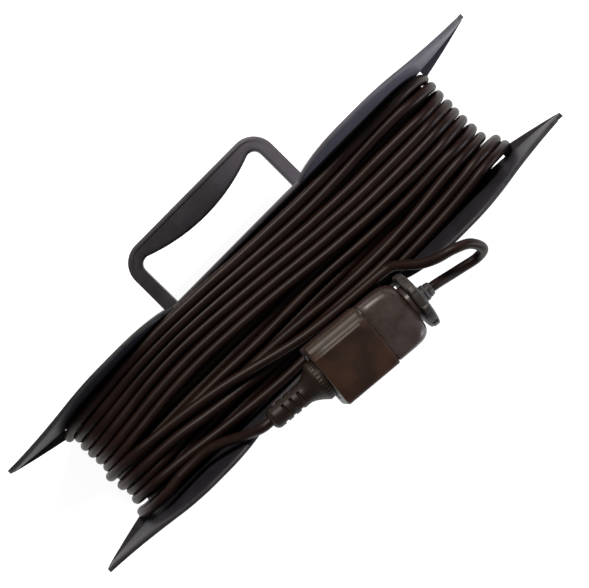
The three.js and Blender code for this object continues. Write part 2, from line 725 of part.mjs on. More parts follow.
// The socket's lead: out of the gland, round one loop, over the cheek's edge to the winding.
const socketLead = tube(CABLE_D, 10, 40, [
  onAxis(CLAMP_X - CLAMP_RUN / 2),
  onAxis(lerp(CLAMP_X, glandEndX, 0.5)),
  onAxis(glandEndX),
  onAxis(glandEndX + 6),
  new THREE.Vector3(82, -61.5, 34),
  new THREE.Vector3(94, -64, 34),
  new THREE.Vector3(99.5, -62, 42),
  new THREE.Vector3(95.5, -54, 50),
  new THREE.Vector3(86, -49.3, 53),
  new THREE.Vector3(76, -46.5, 50.5),
  new THREE.Vector3(67.5, -42.5, 44),
  new THREE.Vector3(60.5, -36.5, 36),
  new THREE.Vector3(54.5, -32.2, 30.4),
  new THREE.Vector3(48, -30.9, leadOnPackZ),
]);

// The plug's lead: out of the neck and down over the cheek's edge to the winding.
const plugLead = tube(CABLE_D, 10, 26, [
  onAxis(plugEndX + 12),
  onAxis(plugEndX + 5),
  onAxis(plugEndX),
  onAxis(plugEndX - 5),
  new THREE.Vector3(-74, -40.5, 45.5),
  new THREE.Vector3(-86, -35, 37),
  new THREE.Vector3(-98, -31.5, leadOnPackZ + 1.5),
  new THREE.Vector3(-110, -30.9, leadOnPackZ),
  new THREE.Vector3(-120, -30.9, leadOnPackZ),
]);

// ---------------------------------------------------------------- assembly
const reel = new THREE.Group();
const handledCheek = rootFillets().reduce((body, wedge) => body.add(wedge), cheek(1).add(handle()));
reel.add(piece('handle_cheek', handledCheek, charcoal()));
reel.add(piece('plain_cheek', cheek(-1), charcoal()));
reel.add(piece('winding_core', windingCore(), charcoal()));
reel.add(piece('cable_winding', winding(), cableBlack()));
reel.add(piece('socket_lead', socketLead, cableBlack()));
reel.add(piece('plug_lead', plugLead, cableBlack()));

for (const [sideName, side] of [['handle', 1], ['plain', -1]]) {
  for (const [endName, end] of [['left', -1], ['right', 1]]) {
    const body = screw(CHEEK_SCREW_D, CHEEK_SCREW_LENGTH, CHEEK_SCREW_HEAD_D, CHEEK_SCREW_D / 2);
    const fastener = piece(`${sideName}_cheek_screw_${endName}`, body, steel());
    fastener.position.set((end * SADDLE_SPACING) / 2, side * (outerHalfWidth + FIT), 0);
    fastener.rotation.z = (-side * Math.PI) / 2;
    reel.add(fastener);
  }
}

coupling.add(piece('socket_front_shell', socketFrontShell(), brownGloss()));
coupling.add(piece('socket_rear_shell', socketRearShell(), brownGloss()));
coupling.add(piece('socket_contact_carrier', contactCarrier(), material(0x9c9284, 0.6)));
coupling.add(piece('cord_clamp_bar', clampBar(), steel()));
coupling.add(piece('socket_end_cap', endCap(), brownGloss()));
coupling.add(piece('socket_gland', gland(), blackRubber()));
coupling.add(piece('plug_body', plugBody(), blackRubber()));
coupling.add(piece('plug_bridge', plugBridge(), blackRubber()));

for (const [name, side] of [['live', 1], ['neutral', -1]]) {
  const y = (side * PIN_SPACING) / 2;
  const sleeve = piece(`socket_contact_${name}`, contact(), brass());
  sleeve.position.y = y;
  coupling.add(sleeve);

  const pin = piece(`plug_pin_${name}`, plugPin(), brass());
  pin.position.y = y;
  coupling.add(pin);

  coupling.add(piece(`socket_core_${name}`, coreWire(side), material(side > 0 ? 0x6b3d1e : 0x2a4a8c, 0.5)));

  const terminalScrew = screw(SMALL_SCREW_D, TERMINAL_SCREW_LENGTH, SMALL_HEAD_D, SMALL_HEAD_H);
  const binding = piece(`terminal_screw_${name}`, terminalScrew, steel());
  const bindingX = terminalX + TERMINAL_SIDE / 2 - CORE_D / 4;
  binding.position.set(bindingX, y, TERMINAL_SIDE / 2 + FIT);
  binding.rotation.y = Math.PI / 2;
  coupling.add(binding);
}

for (const [name, side] of [['upper', 1], ['lower', -1]]) {
  const shellScrew = screw(SMALL_SCREW_D, SHELL_SCREW_LENGTH - 2, SMALL_HEAD_D, SMALL_HEAD_H);
  const long = piece(`shell_screw_${name}`, shellScrew, steel());
  const headX = FRONT_LENGTH + REAR_LENGTH + FIT - SCREW_HEAD_DEPTH + FIT;
  long.position.set(headX, side * SHELL_SCREW_Y, SHELL_SCREW_Z);
  long.rotation.z = Math.PI;
  coupling.add(long);

  const clampScrew = screw(SMALL_SCREW_D, CLAMP_SCREW_LENGTH, SMALL_HEAD_D, SMALL_HEAD_H);
  const short = piece(`clamp_screw_${name}`, clampScrew, steel());
  short.position.set(CLAMP_X, side * CLAMP_SCREW_Y, clampHeadZ);
  short.rotation.y = Math.PI / 2;
  coupling.add(short);
}
reel.add(coupling);

// The reel stands on the back edges of its cheeks, with the frame's middle over the origin.
reel.position.set(0, (edgeY - gripY) / 2, CHEEK_DEPTH / 2);

const model = new THREE.Group();
model.add(reel);
export default model;
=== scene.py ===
"""Looks of a frame-type extension cord reel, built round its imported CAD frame.

The reel lies on its back: two splayed cheeks (one with a moulded handle), the cable wound
lengthwise between them, and the brown trailing socket with the cord's own plug pushed in.
Sizes inside the classes are millimetres in the reel's own frame; meshes are in metres.
"""

import logging
import math
from dataclasses import dataclass, field
from enum import Enum
from typing import Callable, Iterable, Sequence

import bmesh
import bpy
import numpy as np
from mathutils import Matrix, Vector


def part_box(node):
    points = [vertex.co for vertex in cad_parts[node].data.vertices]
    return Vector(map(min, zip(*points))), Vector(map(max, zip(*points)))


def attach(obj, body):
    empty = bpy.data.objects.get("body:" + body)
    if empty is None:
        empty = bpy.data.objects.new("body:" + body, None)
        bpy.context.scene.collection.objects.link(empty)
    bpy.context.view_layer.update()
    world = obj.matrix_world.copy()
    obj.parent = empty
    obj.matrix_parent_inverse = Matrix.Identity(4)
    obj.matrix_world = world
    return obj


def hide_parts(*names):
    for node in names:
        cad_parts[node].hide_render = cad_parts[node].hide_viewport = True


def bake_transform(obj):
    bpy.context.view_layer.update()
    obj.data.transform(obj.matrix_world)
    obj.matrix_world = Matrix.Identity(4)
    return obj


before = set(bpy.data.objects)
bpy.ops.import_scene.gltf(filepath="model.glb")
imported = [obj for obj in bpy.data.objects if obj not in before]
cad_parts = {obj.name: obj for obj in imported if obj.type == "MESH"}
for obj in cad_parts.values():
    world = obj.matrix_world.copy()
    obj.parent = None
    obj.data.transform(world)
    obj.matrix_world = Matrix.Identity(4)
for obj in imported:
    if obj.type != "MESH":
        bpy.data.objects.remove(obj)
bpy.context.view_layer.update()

log = logging.getLogger("cord_reel")

MM = 0.001
SPLAY = math.tan(math.radians(15))
Point = tuple[float, float, float]
Loop = list[Vector]
LEAD_LANE = -30.9  # the lane where both leads join the winding


class Body(Enum):
    """The moving bodies that pieces ride on."""

    REEL = "reel"
    PLUG = "plug"


class Side(Enum):
    """Which cheek, as the sign of its y."""

    HANDLE = 1
    PLAIN = -1


@dataclass(frozen=True)
class Placement:
    """A local millimetre frame set in the row frame.

    Args:
        origin: the local origin in metres.
        turn: rotation from local to row axes.
    """

    origin: Vector
    turn: Matrix

    def at(self, x: float, y: float, z: float) -> Vector:
        """The row-frame point, in metres, of a local point in millimetres."""
        return self.origin + self.turn @ (Vector((x, y, z)) * MM)

    def inside(self, x: float, y: float, z: float, turn: Matrix) -> "Placement":
        """A further placement whose origin is the local point x, y, z."""
        return Placement(self.at(x, y, z), self.turn @ turn)


def middle_of(node: str) -> Vector:
    """The middle of a CAD node's box, in metres."""
    low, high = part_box(node)
    return (low + high) / 2


REEL = Placement(middle_of("winding_core"), Matrix.Identity(3))
COUPLING = REEL.inside(
    -19, -48.5, 47.466,
    Matrix.Rotation(math.radians(-5.8), 3, "Z") @ Matrix.Rotation(math.radians(5), 3, "Y"),
)


# ---------------------------------------------------------------- shader effects
class NodeSheet:
    """A thin layer over a node tree that makes and links nodes in one call."""

    def __init__(self, tree: bpy.types.NodeTree) -> None:
        """Clears the tree and keeps it."""
        self.tree = tree
        tree.nodes.clear()

    def add(self, kind: str, links: dict | None = None, **settings) -> bpy.types.Node:
        """Makes a node.

        Args:
            kind: Blender's node type.
            links: input name or index to a socket to link, or a value to set.
            settings: node properties.

        Returns:
            The new node.
        """
        node = self.tree.nodes.new(kind)
        for name, value in settings.items():
            setattr(node, name, value)
        for key, value in (links or {}).items():
            if isinstance(value, bpy.types.NodeSocket):
                self.tree.links.new(value, node.inputs[key])
            else:
                node.inputs[key].default_value = value
        return node

    def maths(self, operation: str, a, b=0.0, c=0.0, clamp: bool = False) -> bpy.types.NodeSocket:
        """The output of a Math node."""
        node = self.add("ShaderNodeMath", {0: a, 1: b, 2: c}, operation=operation, use_clamp=clamp)
        return node.outputs[0]

    def ramp(self, value, low: float, high: float) -> bpy.types.NodeSocket:
        """A smooth 0 to 1 step between low and high."""
        node = self.add("ShaderNodeMapRange", {0: value, 1: low, 2: high, 3: 0.0, 4: 1.0},
                        interpolation_type="SMOOTHSTEP")
        return node.outputs[0]

    def blend(self, share, a, b) -> bpy.types.NodeSocket:
        """A colour mixed from a to b.

        Args:
            share: how much of b, as a socket or a number.
            a: the first colour, as a socket or a value.
            b: the second colour.

        Returns:
            The mixed colour.
        """
        node = self.add("ShaderNodeMix", data_type="RGBA")
        for socket, value in ((node.inputs["Factor"], share), (node.inputs[6], a), (node.inputs[7], b)):
            if isinstance(value, bpy.types.NodeSocket):
                self.tree.links.new(value, socket)
            else:
                socket.default_value = value
        return node.outputs[2]

    def noise(self, place, scale: float, detail: float = 3, rough: float = 0.5) -> bpy.types.NodeSocket:
        """The value of a noise texture."""
        node = self.add("ShaderNodeTexNoise", {"Vector": place, "Scale": scale, "Detail": detail,
                                               "Roughness": rough})
        return node.outputs[0]


def new_group(
    name: str, inputs: Sequence[tuple[str, str, float]], outputs: Sequence[tuple[str, str]],
) -> tuple[bpy.types.NodeTree, NodeSheet, dict[str, bpy.types.NodeSocket], bpy.types.Node]:
    """An empty shader group with named sockets.

    Args:
        name: the group's name.
        inputs: name, socket kind (Float, Color, Vector) and default of each input.
        outputs: name and socket kind of each output.

    Returns:
        The group, its sheet, its input sockets by name, and its output node.
    """
    group = bpy.data.node_groups.new(name, "ShaderNodeTree")
    for label, kind, default in inputs:
        socket = group.interface.new_socket(label, in_out="INPUT", socket_type="NodeSocket" + kind)
        if kind == "Float":
            socket.default_value = default
    for label, kind in outputs:
        group.interface.new_socket(label, in_out="OUTPUT", socket_type="NodeSocket" + kind)
    sheet = NodeSheet(group)
    entry = sheet.add("NodeGroupInput")
    leave = sheet.add("NodeGroupOutput")
    return group, sheet, {s.name: s for s in entry.outputs if s.name}, leave


def grain_group() -> bpy.types.NodeTree:
    """Fine moulded grain: a height for bump, a varying roughness and a slow mottle.

    Returns:
        The group.
    """
    group, sheet, put, leave = new_group(
        "moulded_grain",
        [("Scale", "Float", 1500.0), ("Roughness", "Float", 0.4), ("Spread", "Float", 0.1)],
        [("Height", "Float"), ("Roughness", "Float"), ("Mottle", "Float")],
    )
    place = sheet.add("ShaderNodeTexCoord").outputs["Object"]
    fine = sheet.add("ShaderNodeTexNoise", {"Vector": place, "Scale": put["Scale"], "Detail": 2.0})
    wide = sheet.noise(place, 55.0, 4.0, 0.6)
    smear = sheet.noise(place, 210.0, 3.0, 0.6)
    both = sheet.maths("MULTIPLY_ADD", smear, 0.5, sheet.maths("MULTIPLY", wide, 0.5))
    centred = sheet.maths("SUBTRACT", both, 0.5)
    rough = sheet.maths("MULTIPLY_ADD", centred, put["Spread"], put["Roughness"], clamp=True)
    mottle = sheet.ramp(wide, 0.35, 0.65)
    for name, value in (("Height", fine.outputs[0]), ("Roughness", rough), ("Mottle", mottle)):
        sheet.tree.links.new(value, leave.inputs[name])
    return group


def rub_and_highlight_group() -> bpy.types.NodeTree:
    """Paler edges from the mesh's own edge marks: partly edges rubbed by handling, partly painted highlights
    along tight roundings.

    Returns:
        The group.
    """
    group, sheet, put, leave = new_group("edge_rub_and_highlight", [("Amount", "Float", 0.5)], [("Mask", "Float")])
    edge = sheet.add("ShaderNodeAttribute", attribute_name="edge").outputs["Fac"]
    place = sheet.add("ShaderNodeTexCoord").outputs["Object"]
    broken = sheet.ramp(sheet.noise(place, 330.0, 4.0, 0.7), 0.3, 0.62)
    mask = sheet.maths("MULTIPLY", sheet.maths("MULTIPLY", edge, broken), put["Amount"], clamp=True)
    sheet.tree.links.new(mask, leave.inputs["Mask"])
    return group


def dust_group() -> bpy.types.NodeTree:
    """A thin film of dust on faces that look up.

    Returns:
        The group.
    """
    group, sheet, put, leave = new_group("settled_dust", [("Amount", "Float", 0.2)], [("Mask", "Float")])
    normal = sheet.add("ShaderNodeNewGeometry").outputs["Normal"]
    up = sheet.add("ShaderNodeSeparateXYZ", {0: normal}).outputs["Z"]
    place = sheet.add("ShaderNodeTexCoord").outputs["Object"]
    spread = sheet.ramp(sheet.noise(place, 90.0, 5.0, 0.65), 0.38, 0.75)
    mask = sheet.maths("MULTIPLY", sheet.maths("MULTIPLY", sheet.ramp(up, 0.2, 1.0), spread), put["Amount"],
                       clamp=True)
    sheet.tree.links.new(mask, leave.inputs["Mask"])
    return group


def horn_light_group() -> bpy.types.NodeTree:
    """Painted bluish light towards the right end of the handle's side, in object space, standing in for the
    light on the upper-right horn.

    Returns:
        The group.
    """
    group, sheet, put, leave = new_group("painted_horn_light", [("Amount", "Float", 0.0)], [("Mask", "Float")])
    place = sheet.add("ShaderNodeTexCoord").outputs["Object"]
    parts = sheet.add("ShaderNodeSeparateXYZ", {0: place})
    along = sheet.ramp(parts.outputs["X"], 0.0, 0.06)
    across = sheet.ramp(parts.outputs["Y"], 0.004, 0.012)
    patchy = sheet.maths("MULTIPLY_ADD", sheet.ramp(sheet.noise(place, 70.0, 4.0, 0.6), 0.3, 0.7), 0.2, 0.8)
    mask = sheet.maths("MULTIPLY", sheet.maths("MULTIPLY", along, across), patchy)
    sheet.tree.links.new(sheet.maths("MULTIPLY", mask, put["Amount"], clamp=True), leave.inputs["Mask"])
    return group


GROUPS: dict[str, bpy.types.NodeTree] = {
    "horn_light": horn_light_group(),
    "grain": grain_group(),
    "rub_and_highlight": rub_and_highlight_group(),
    "dust": dust_group(),
}

Colour = tuple[float, float, float]
DUST_COLOUR: Colour = (0.34, 0.31, 0.29)
# Colour of the painted bluish light on the handle side's right end.
HORN_LIGHT_COLOUR: Colour = (0.13, 0.122, 0.15)


@dataclass(frozen=True)
class Finish:
    """One finish of the object, made into a procedural material on first use.

    Args:
        name: the material's name.
        base: main colour, linear.
        second: the colour it drifts to over the surface.
        roughness: middle roughness.
        spread: how much the roughness varies.
        grain: grain frequency, per metre.
        depth: grain depth in metres.
        rub_and_highlight_colour: colour of the rubbed edges, also their painted highlight.
        rub_and_highlight: how strong the rubbed edges and their painted highlight are.
        dust: how strong the dust film is.
        metallic: 1 for bare metal.
        coat: clear gloss layer.
        coat_roughness: roughness of that layer.
        specular: specular level.
        sheen: soft sheen weight.
        sheen_tint: colour of the sheen.
        horn_light: how strong the painted bluish light is at the handle side's right end.
    """

    name: str
    base: Colour
    second: Colour
    roughness: float
    spread: float = 0.12
    grain: float = 1600.0
    depth: float = 0.00004
    rub_and_highlight_colour: Colour = (0.2, 0.2, 0.22)
    rub_and_highlight: float = 0.4
    dust: float = 0.1
    metallic: float = 0.0
    coat: float = 0.0
    coat_roughness: float = 0.1
    specular: float = 0.5
    sheen: float = 0.0
    sheen_tint: Colour = (1.0, 1.0, 1.0)
    horn_light: float = 0.0

    def material(self) -> bpy.types.Material:
        """The finish's material, built once.

        Returns:
            The material.
        """
        name = f"{self.name}_finish"  # the CAD's own materials keep the slot names
        found = bpy.data.materials.get(name)
        if found is not None:
            return found
        made = bpy.data.materials.new(name)
        made.use_nodes = True
        sheet = NodeSheet(made.node_tree)
        grain = self.effect(sheet, "grain", Scale=self.grain, Roughness=self.roughness, Spread=self.spread)
        rub_and_highlight = self.effect(sheet, "rub_and_highlight", Amount=self.rub_and_highlight).outputs["Mask"]
        dust = self.effect(sheet, "dust", Amount=self.dust).outputs["Mask"]
        tone = sheet.blend(grain.outputs["Mottle"], (*self.base, 1), (*self.second, 1))
        # Painted light: the handle side's right end drifts towards a pale blue.
        if self.horn_light:
            horn_lit = self.effect(sheet, "horn_light", Amount=self.horn_light).outputs["Mask"]
            tone = sheet.blend(horn_lit, tone, (*HORN_LIGHT_COLOUR, 1))
        # Lighter edges: rubbed wear plus painted edge highlight.
        tone = sheet.blend(rub_and_highlight, tone, (*self.rub_and_highlight_colour, 1))
        tone = sheet.blend(dust, tone, (*DUST_COLOUR, 1))
        bump = sheet.add("ShaderNodeBump", {"Height": grain.outputs["Height"], "Distance": self.depth})
        bsdf = sheet.add("ShaderNodeBsdfPrincipled", {
            "Base Color": tone, "Roughness": grain.outputs["Roughness"], "Normal": bump.outputs[0],
            "Metallic": self.metallic, "Coat Weight": self.coat, "Coat Roughness": self.coat_roughness,
            "Specular IOR Level": self.specular, "Sheen Weight": self.sheen,
            "Sheen Tint": (*self.sheen_tint, 1),
        })
        sheet.add("ShaderNodeOutputMaterial", {"Surface": bsdf.outputs[0]})
        return made

    @staticmethod
    def effect(sheet: NodeSheet, kind: str, **values: float) -> bpy.types.Node:
        """One shared effect placed in a material.

        Args:
            sheet: the material's sheet.
            kind: which effect, by its key.
            values: the effect's own inputs.

        Returns:
            The group node.
        """
        node = sheet.add("ShaderNodeGroup", node_tree=GROUPS[kind])
        for name, value in values.items():
            node.inputs[name].default_value = value
        return node

    def dress(self, *objects: bpy.types.Object) -> None:
        """Puts the finish on objects, in every material slot.

        Args:
            objects: the meshes and curves to dress.
        """
        for thing in objects:
            if not thing.data.materials:
                thing.data.materials.append(self.material())
            for slot in thing.material_slots:
                slot.material = self.material()


# The cheek plastic carries the painted bluish light on the handle side's right end.
CHEEK_PLASTIC = Finish("charcoal_moulding", (0.018, 0.0165, 0.021), (0.026, 0.024, 0.031), 0.48, spread=0.14,
                       specular=0.3, horn_light=1.0, rub_and_highlight_colour=(0.09, 0.085, 0.085), rub_and_highlight=0.4, dust=0.04, depth=0.00005)
CORE_PLASTIC = Finish("core_moulding", (0.01, 0.01, 0.011), (0.014, 0.014, 0.015), 0.5, dust=0.02)
SHEATH = Finish("cable_sheath", (0.0125, 0.0046, 0.003), (0.019, 0.0082, 0.0058), 0.44, spread=0.14,
                grain=2600, depth=0.000003, dust=0.0, specular=0.22, rub_and_highlight=0.0)
# Its orange edge colour is painted warm highlight along the front housing's bead and shoulder.
BROWN_GLOSS = Finish("socket_brown_gloss", (0.02, 0.0085, 0.0045), (0.042, 0.0185, 0.0085), 0.46, spread=0.2,
                     specular=0.3, grain=900, depth=0.000006, rub_and_highlight_colour=(0.1, 0.055, 0.028), rub_and_highlight=0.2, dust=0.0,
                     coat=0.06, coat_roughness=0.3, sheen=0.04, sheen_tint=(0.75, 0.6, 0.85))
# A lighter, mauve copy of the socket brown for the rear housing: painted highlight standing in for its broad
# shine.
BROWN_PAINTED_HIGHLIGHT = Finish("socket_brown_painted_highlight", (0.026, 0.0125, 0.0085), (0.052, 0.034, 0.031), 0.38, spread=0.2,
                    grain=900, depth=0.00001, rub_and_highlight_colour=(0.16, 0.12, 0.11), rub_and_highlight=0.3, dust=0.05, coat=0.1,
                    coat_roughness=0.35)
CAP_BROWN = Finish("cap_brown_matt", (0.02, 0.016, 0.014), (0.032, 0.027, 0.024), 0.5, specular=0.4,
                   rub_and_highlight_colour=(0.14, 0.125, 0.115), rub_and_highlight=0.4, dust=0.06, depth=0.00002)
PLUG_RUBBER = Finish("plug_moulding", (0.011, 0.0056, 0.004), (0.017, 0.0092, 0.0066), 0.46, spread=0.2,
                     specular=0.25, rub_and_highlight_colour=(0.08, 0.052, 0.035), rub_and_highlight=0.3, dust=0.02, depth=0.000015)
GLAND_RUBBER = Finish("gland_rubber", (0.012, 0.009, 0.008), (0.018, 0.014, 0.012), 0.5, dust=0.03)
BRIDGE = Finish("bridge_black", (0.015, 0.015, 0.015), (0.02, 0.02, 0.02), 0.35)
CREAM = Finish("carrier_cream", (0.4, 0.36, 0.29), (0.46, 0.42, 0.34), 0.5)
BRASS = Finish("contact_brass", (0.6, 0.42, 0.17), (0.5, 0.34, 0.13), 0.3, metallic=1.0,
               rub_and_highlight_colour=(0.8, 0.64, 0.36))
NICKEL = Finish("pin_nickel", (0.62, 0.58, 0.5), (0.5, 0.47, 0.42), 0.26, metallic=1.0,
                rub_and_highlight_colour=(0.8, 0.78, 0.74))
STEEL = Finish("screw_steel", (0.46, 0.46, 0.47), (0.36, 0.36, 0.38), 0.32, metallic=1.0,
               rub_and_highlight_colour=(0.7, 0.7, 0.7))
CORE_BROWN = Finish("core_brown", (0.14, 0.045, 0.015), (0.17, 0.06, 0.02), 0.4)
CORE_BLUE = Finish("core_blue", (0.02, 0.06, 0.25), (0.03, 0.08, 0.3), 0.4)


# ---------------------------------------------------------------- mesh tools
def linked(name: str, data: bpy.types.ID) -> bpy.types.Object:
    """A new object in the scene that shows the data.

    Args:
        name: the object's name.
        data: a mesh, curve, lamp or camera.

    Returns:
        The new object.
    """
    made = bpy.data.objects.new(name, data)
    bpy.context.scene.collection.objects.link(made)
    return made


def mark_edges(bm: bmesh.types.BMesh) -> None:
    """Writes how tightly rounded each vertex is into the float attribute "edge".

    Args:
        bm: the mesh, with its normals outwards.
    """
    layer = bm.verts.layers.float.new("edge")
    for edge in bm.edges:
        if len(edge.link_faces) != 2:
            continue
        turn = edge.calc_face_angle_signed(0.0)
        if turn < 0.12:
            continue
        a, b = edge.link_faces
        gap = (a.calc_center_median() - b.calc_center_median()).length
        tight = min(1.0, max(0.0, turn / max(gap, 1e-5) / 500 - 0.3))
        for vert in edge.verts:
            vert[layer] = max(vert[layer], tight)


def finished(name: str, bm: bmesh.types.BMesh, angle: float = 38.0) -> bpy.types.Object:
    """Turns a bmesh into a smooth-shaded object with sharp creases kept.

    Args:
        name: the object's name.
        bm: the mesh, which is freed.
        angle: creases above this many degrees stay sharp.

    Returns:
        The new object.
    """
    bmesh.ops.remove_doubles(bm, verts=bm.verts, dist=1e-6)
    bmesh.ops.recalc_face_normals(bm, faces=bm.faces)
    mark_edges(bm)
    mesh = bpy.data.meshes.new(name)
    bm.to_mesh(mesh)
    bm.free()
    mesh.polygons.foreach_set("use_smooth", [True] * len(mesh.polygons))
    mesh.set_sharp_from_angle(angle=math.radians(angle))
    return linked(name, mesh)


def add_band(bm: bmesh.types.BMesh, low: Sequence[bmesh.types.BMVert],
             high: Sequence[bmesh.types.BMVert]) -> None:
    """Adds a closed band of faces between two rings.

    Args:
        bm: the mesh.
        low: the first ring's vertices.
        high: the second ring's, as many.
    """
    for i, corner in enumerate(low):
        j = (i + 1) % len(low)
        bm.faces.new((corner, low[j], high[j], high[i]))


def add_loft(bm: bmesh.types.BMesh, rings: Sequence[Loop], start: bool = True, end: bool = True) -> None:
    """Adds a skin through closed rings of equal length.

    Args:
        bm: the mesh.
        rings: the rings in order.
        start: whether the first ring is capped.
        end: whether the last ring is capped.
    """
    rows = [[bm.verts.new(p) for p in ring] for ring in rings]
    for low, high in zip(rows, rows[1:]):
        add_band(bm, low, high)
    if start:
        bm.faces.new(rows[0][::-1])
    if end:
        bm.faces.new(rows[-1])


def lofted(name: str, rings: Sequence[Loop], angle: float = 38.0) -> bpy.types.Object:
    """A closed piece through rings.

    Args:
        name: the object's name.
        rings: the rings in order.
        angle: the crease angle in degrees.

    Returns:
        The new object.
    """
    bm = bmesh.new()
    add_loft(bm, rings)
    return finished(name, bm, angle)


def circle(place: Placement, x: float, radius: Callable[[float], float] | float, count: int = 48) -> Loop:
    """A ring round the local X axis.

    Args:
        place: the frame.
        x: where along the axis.
        radius: one radius, or a function of the angle in degrees.
        count: points in the ring.

    Returns:
        The ring.
    """
    ring = []
    for i in range(count):
        angle = 360 * i / count
        r = radius(angle) if callable(radius) else radius
        ring.append(place.at(x, r * math.cos(math.radians(angle)), r * math.sin(math.radians(angle))))
    return ring


def turned(place: Placement, profile: Iterable[tuple[float, float]], count: int = 48) -> list[Loop]:
    """Rings of a turned piece.

    Args:
        place: the frame.
        profile: (x, radius) pairs.
        count: points in each ring.

    Returns:
        The rings.
    """
    return [circle(place, x, r, count) for x, r in profile]


def smooth_route(points: Sequence[Vector], step: float) -> list[Vector]:
    """A centripetal Catmull-Rom curve through points.

    Args:
        points: what it passes through, in metres.
        step: the distance between the new points.

    Returns:
        The resampled curve.
    """
    ends = [points[0] * 2 - points[1], *points, points[-1] * 2 - points[-2]]
    dense = []
    for p0, p1, p2, p3 in zip(ends, ends[1:], ends[2:], ends[3:]):
        t1 = max((p1 - p0).length, 1e-9) ** 0.5
        t2 = t1 + max((p2 - p1).length, 1e-9) ** 0.5
        t3 = t2 + max((p3 - p2).length, 1e-9) ** 0.5
        for k in range(24):
            t = t1 + (t2 - t1) * k / 24
            a1 = p0 * ((t1 - t) / t1) + p1 * (t / t1)
            a2 = p1 * ((t2 - t) / (t2 - t1)) + p2 * ((t - t1) / (t2 - t1))
            a3 = p2 * ((t3 - t) / (t3 - t2)) + p3 * ((t - t2) / (t3 - t2))
            b1 = a1 * ((t2 - t) / t2) + a2 * (t / t2)
            b2 = a2 * ((t3 - t) / (t3 - t1)) + a3 * ((t - t1) / (t3 - t1))
            dense.append(b1 * ((t2 - t) / (t2 - t1)) + b2 * ((t - t1) / (t2 - t1)))
    dense.append(points[-1].copy())
    travelled = np.concatenate([[0], np.cumsum([(b - a).length for a, b in zip(dense, dense[1:])])])
    wanted = np.linspace(0, travelled[-1], max(2, round(travelled[-1] / step)) + 1)
    axes = [np.interp(wanted, travelled, [p[i] for p in dense]) for i in range(3)]
    return [Vector(p) for p in zip(*axes)]


def tube(name: str, route: Sequence[Vector], radius: float, count: int = 20) -> bpy.types.Object:
    """A round tube along a dense route.

    Args:
        name: the object's name.
        route: the centreline in metres.
        radius: in metres.
        count: points round the tube.

    Returns:
        The new object.
    """
    side = (route[1] - route[0]).orthogonal().normalized()
    rings = []
    for i, p in enumerate(route):
        ahead = (route[min(i + 1, len(route) - 1)] - route[max(i - 1, 0)]).normalized()
        side = (side - ahead * side.dot(ahead)).normalized()
        other = ahead.cross(side)
        turns = [2 * math.pi * k / count for k in range(count)]
        rings.append([p + (side * math.cos(a) + other * math.sin(a)) * radius for a in turns])
    return lofted(name, rings)


def box_section(
    width: float, height: float, radii: Sequence[float], steps: int = 6,
) -> list[tuple[float, float]]:
    """A rounded rectangle in (y, z).

    Args:
        width: its size in y.
        height: its size in z.
        radii: the corners at +y+z, -y+z, -y-z and +y-z.
        steps: faces round each corner.

    Returns:
        A list of (y, z) in millimetres.
    """
    points = []
    for k, (sy, sz) in enumerate(((1, 1), (-1, 1), (-1, -1), (1, -1))):
        r = radii[k]
        for i in range(steps + 1):
            a = math.radians(90 * k + 90 * i / steps)
            points.append((sy * (width / 2 - r) + r * math.cos(a), sz * (height / 2 - r) + r * math.sin(a)))
    return points


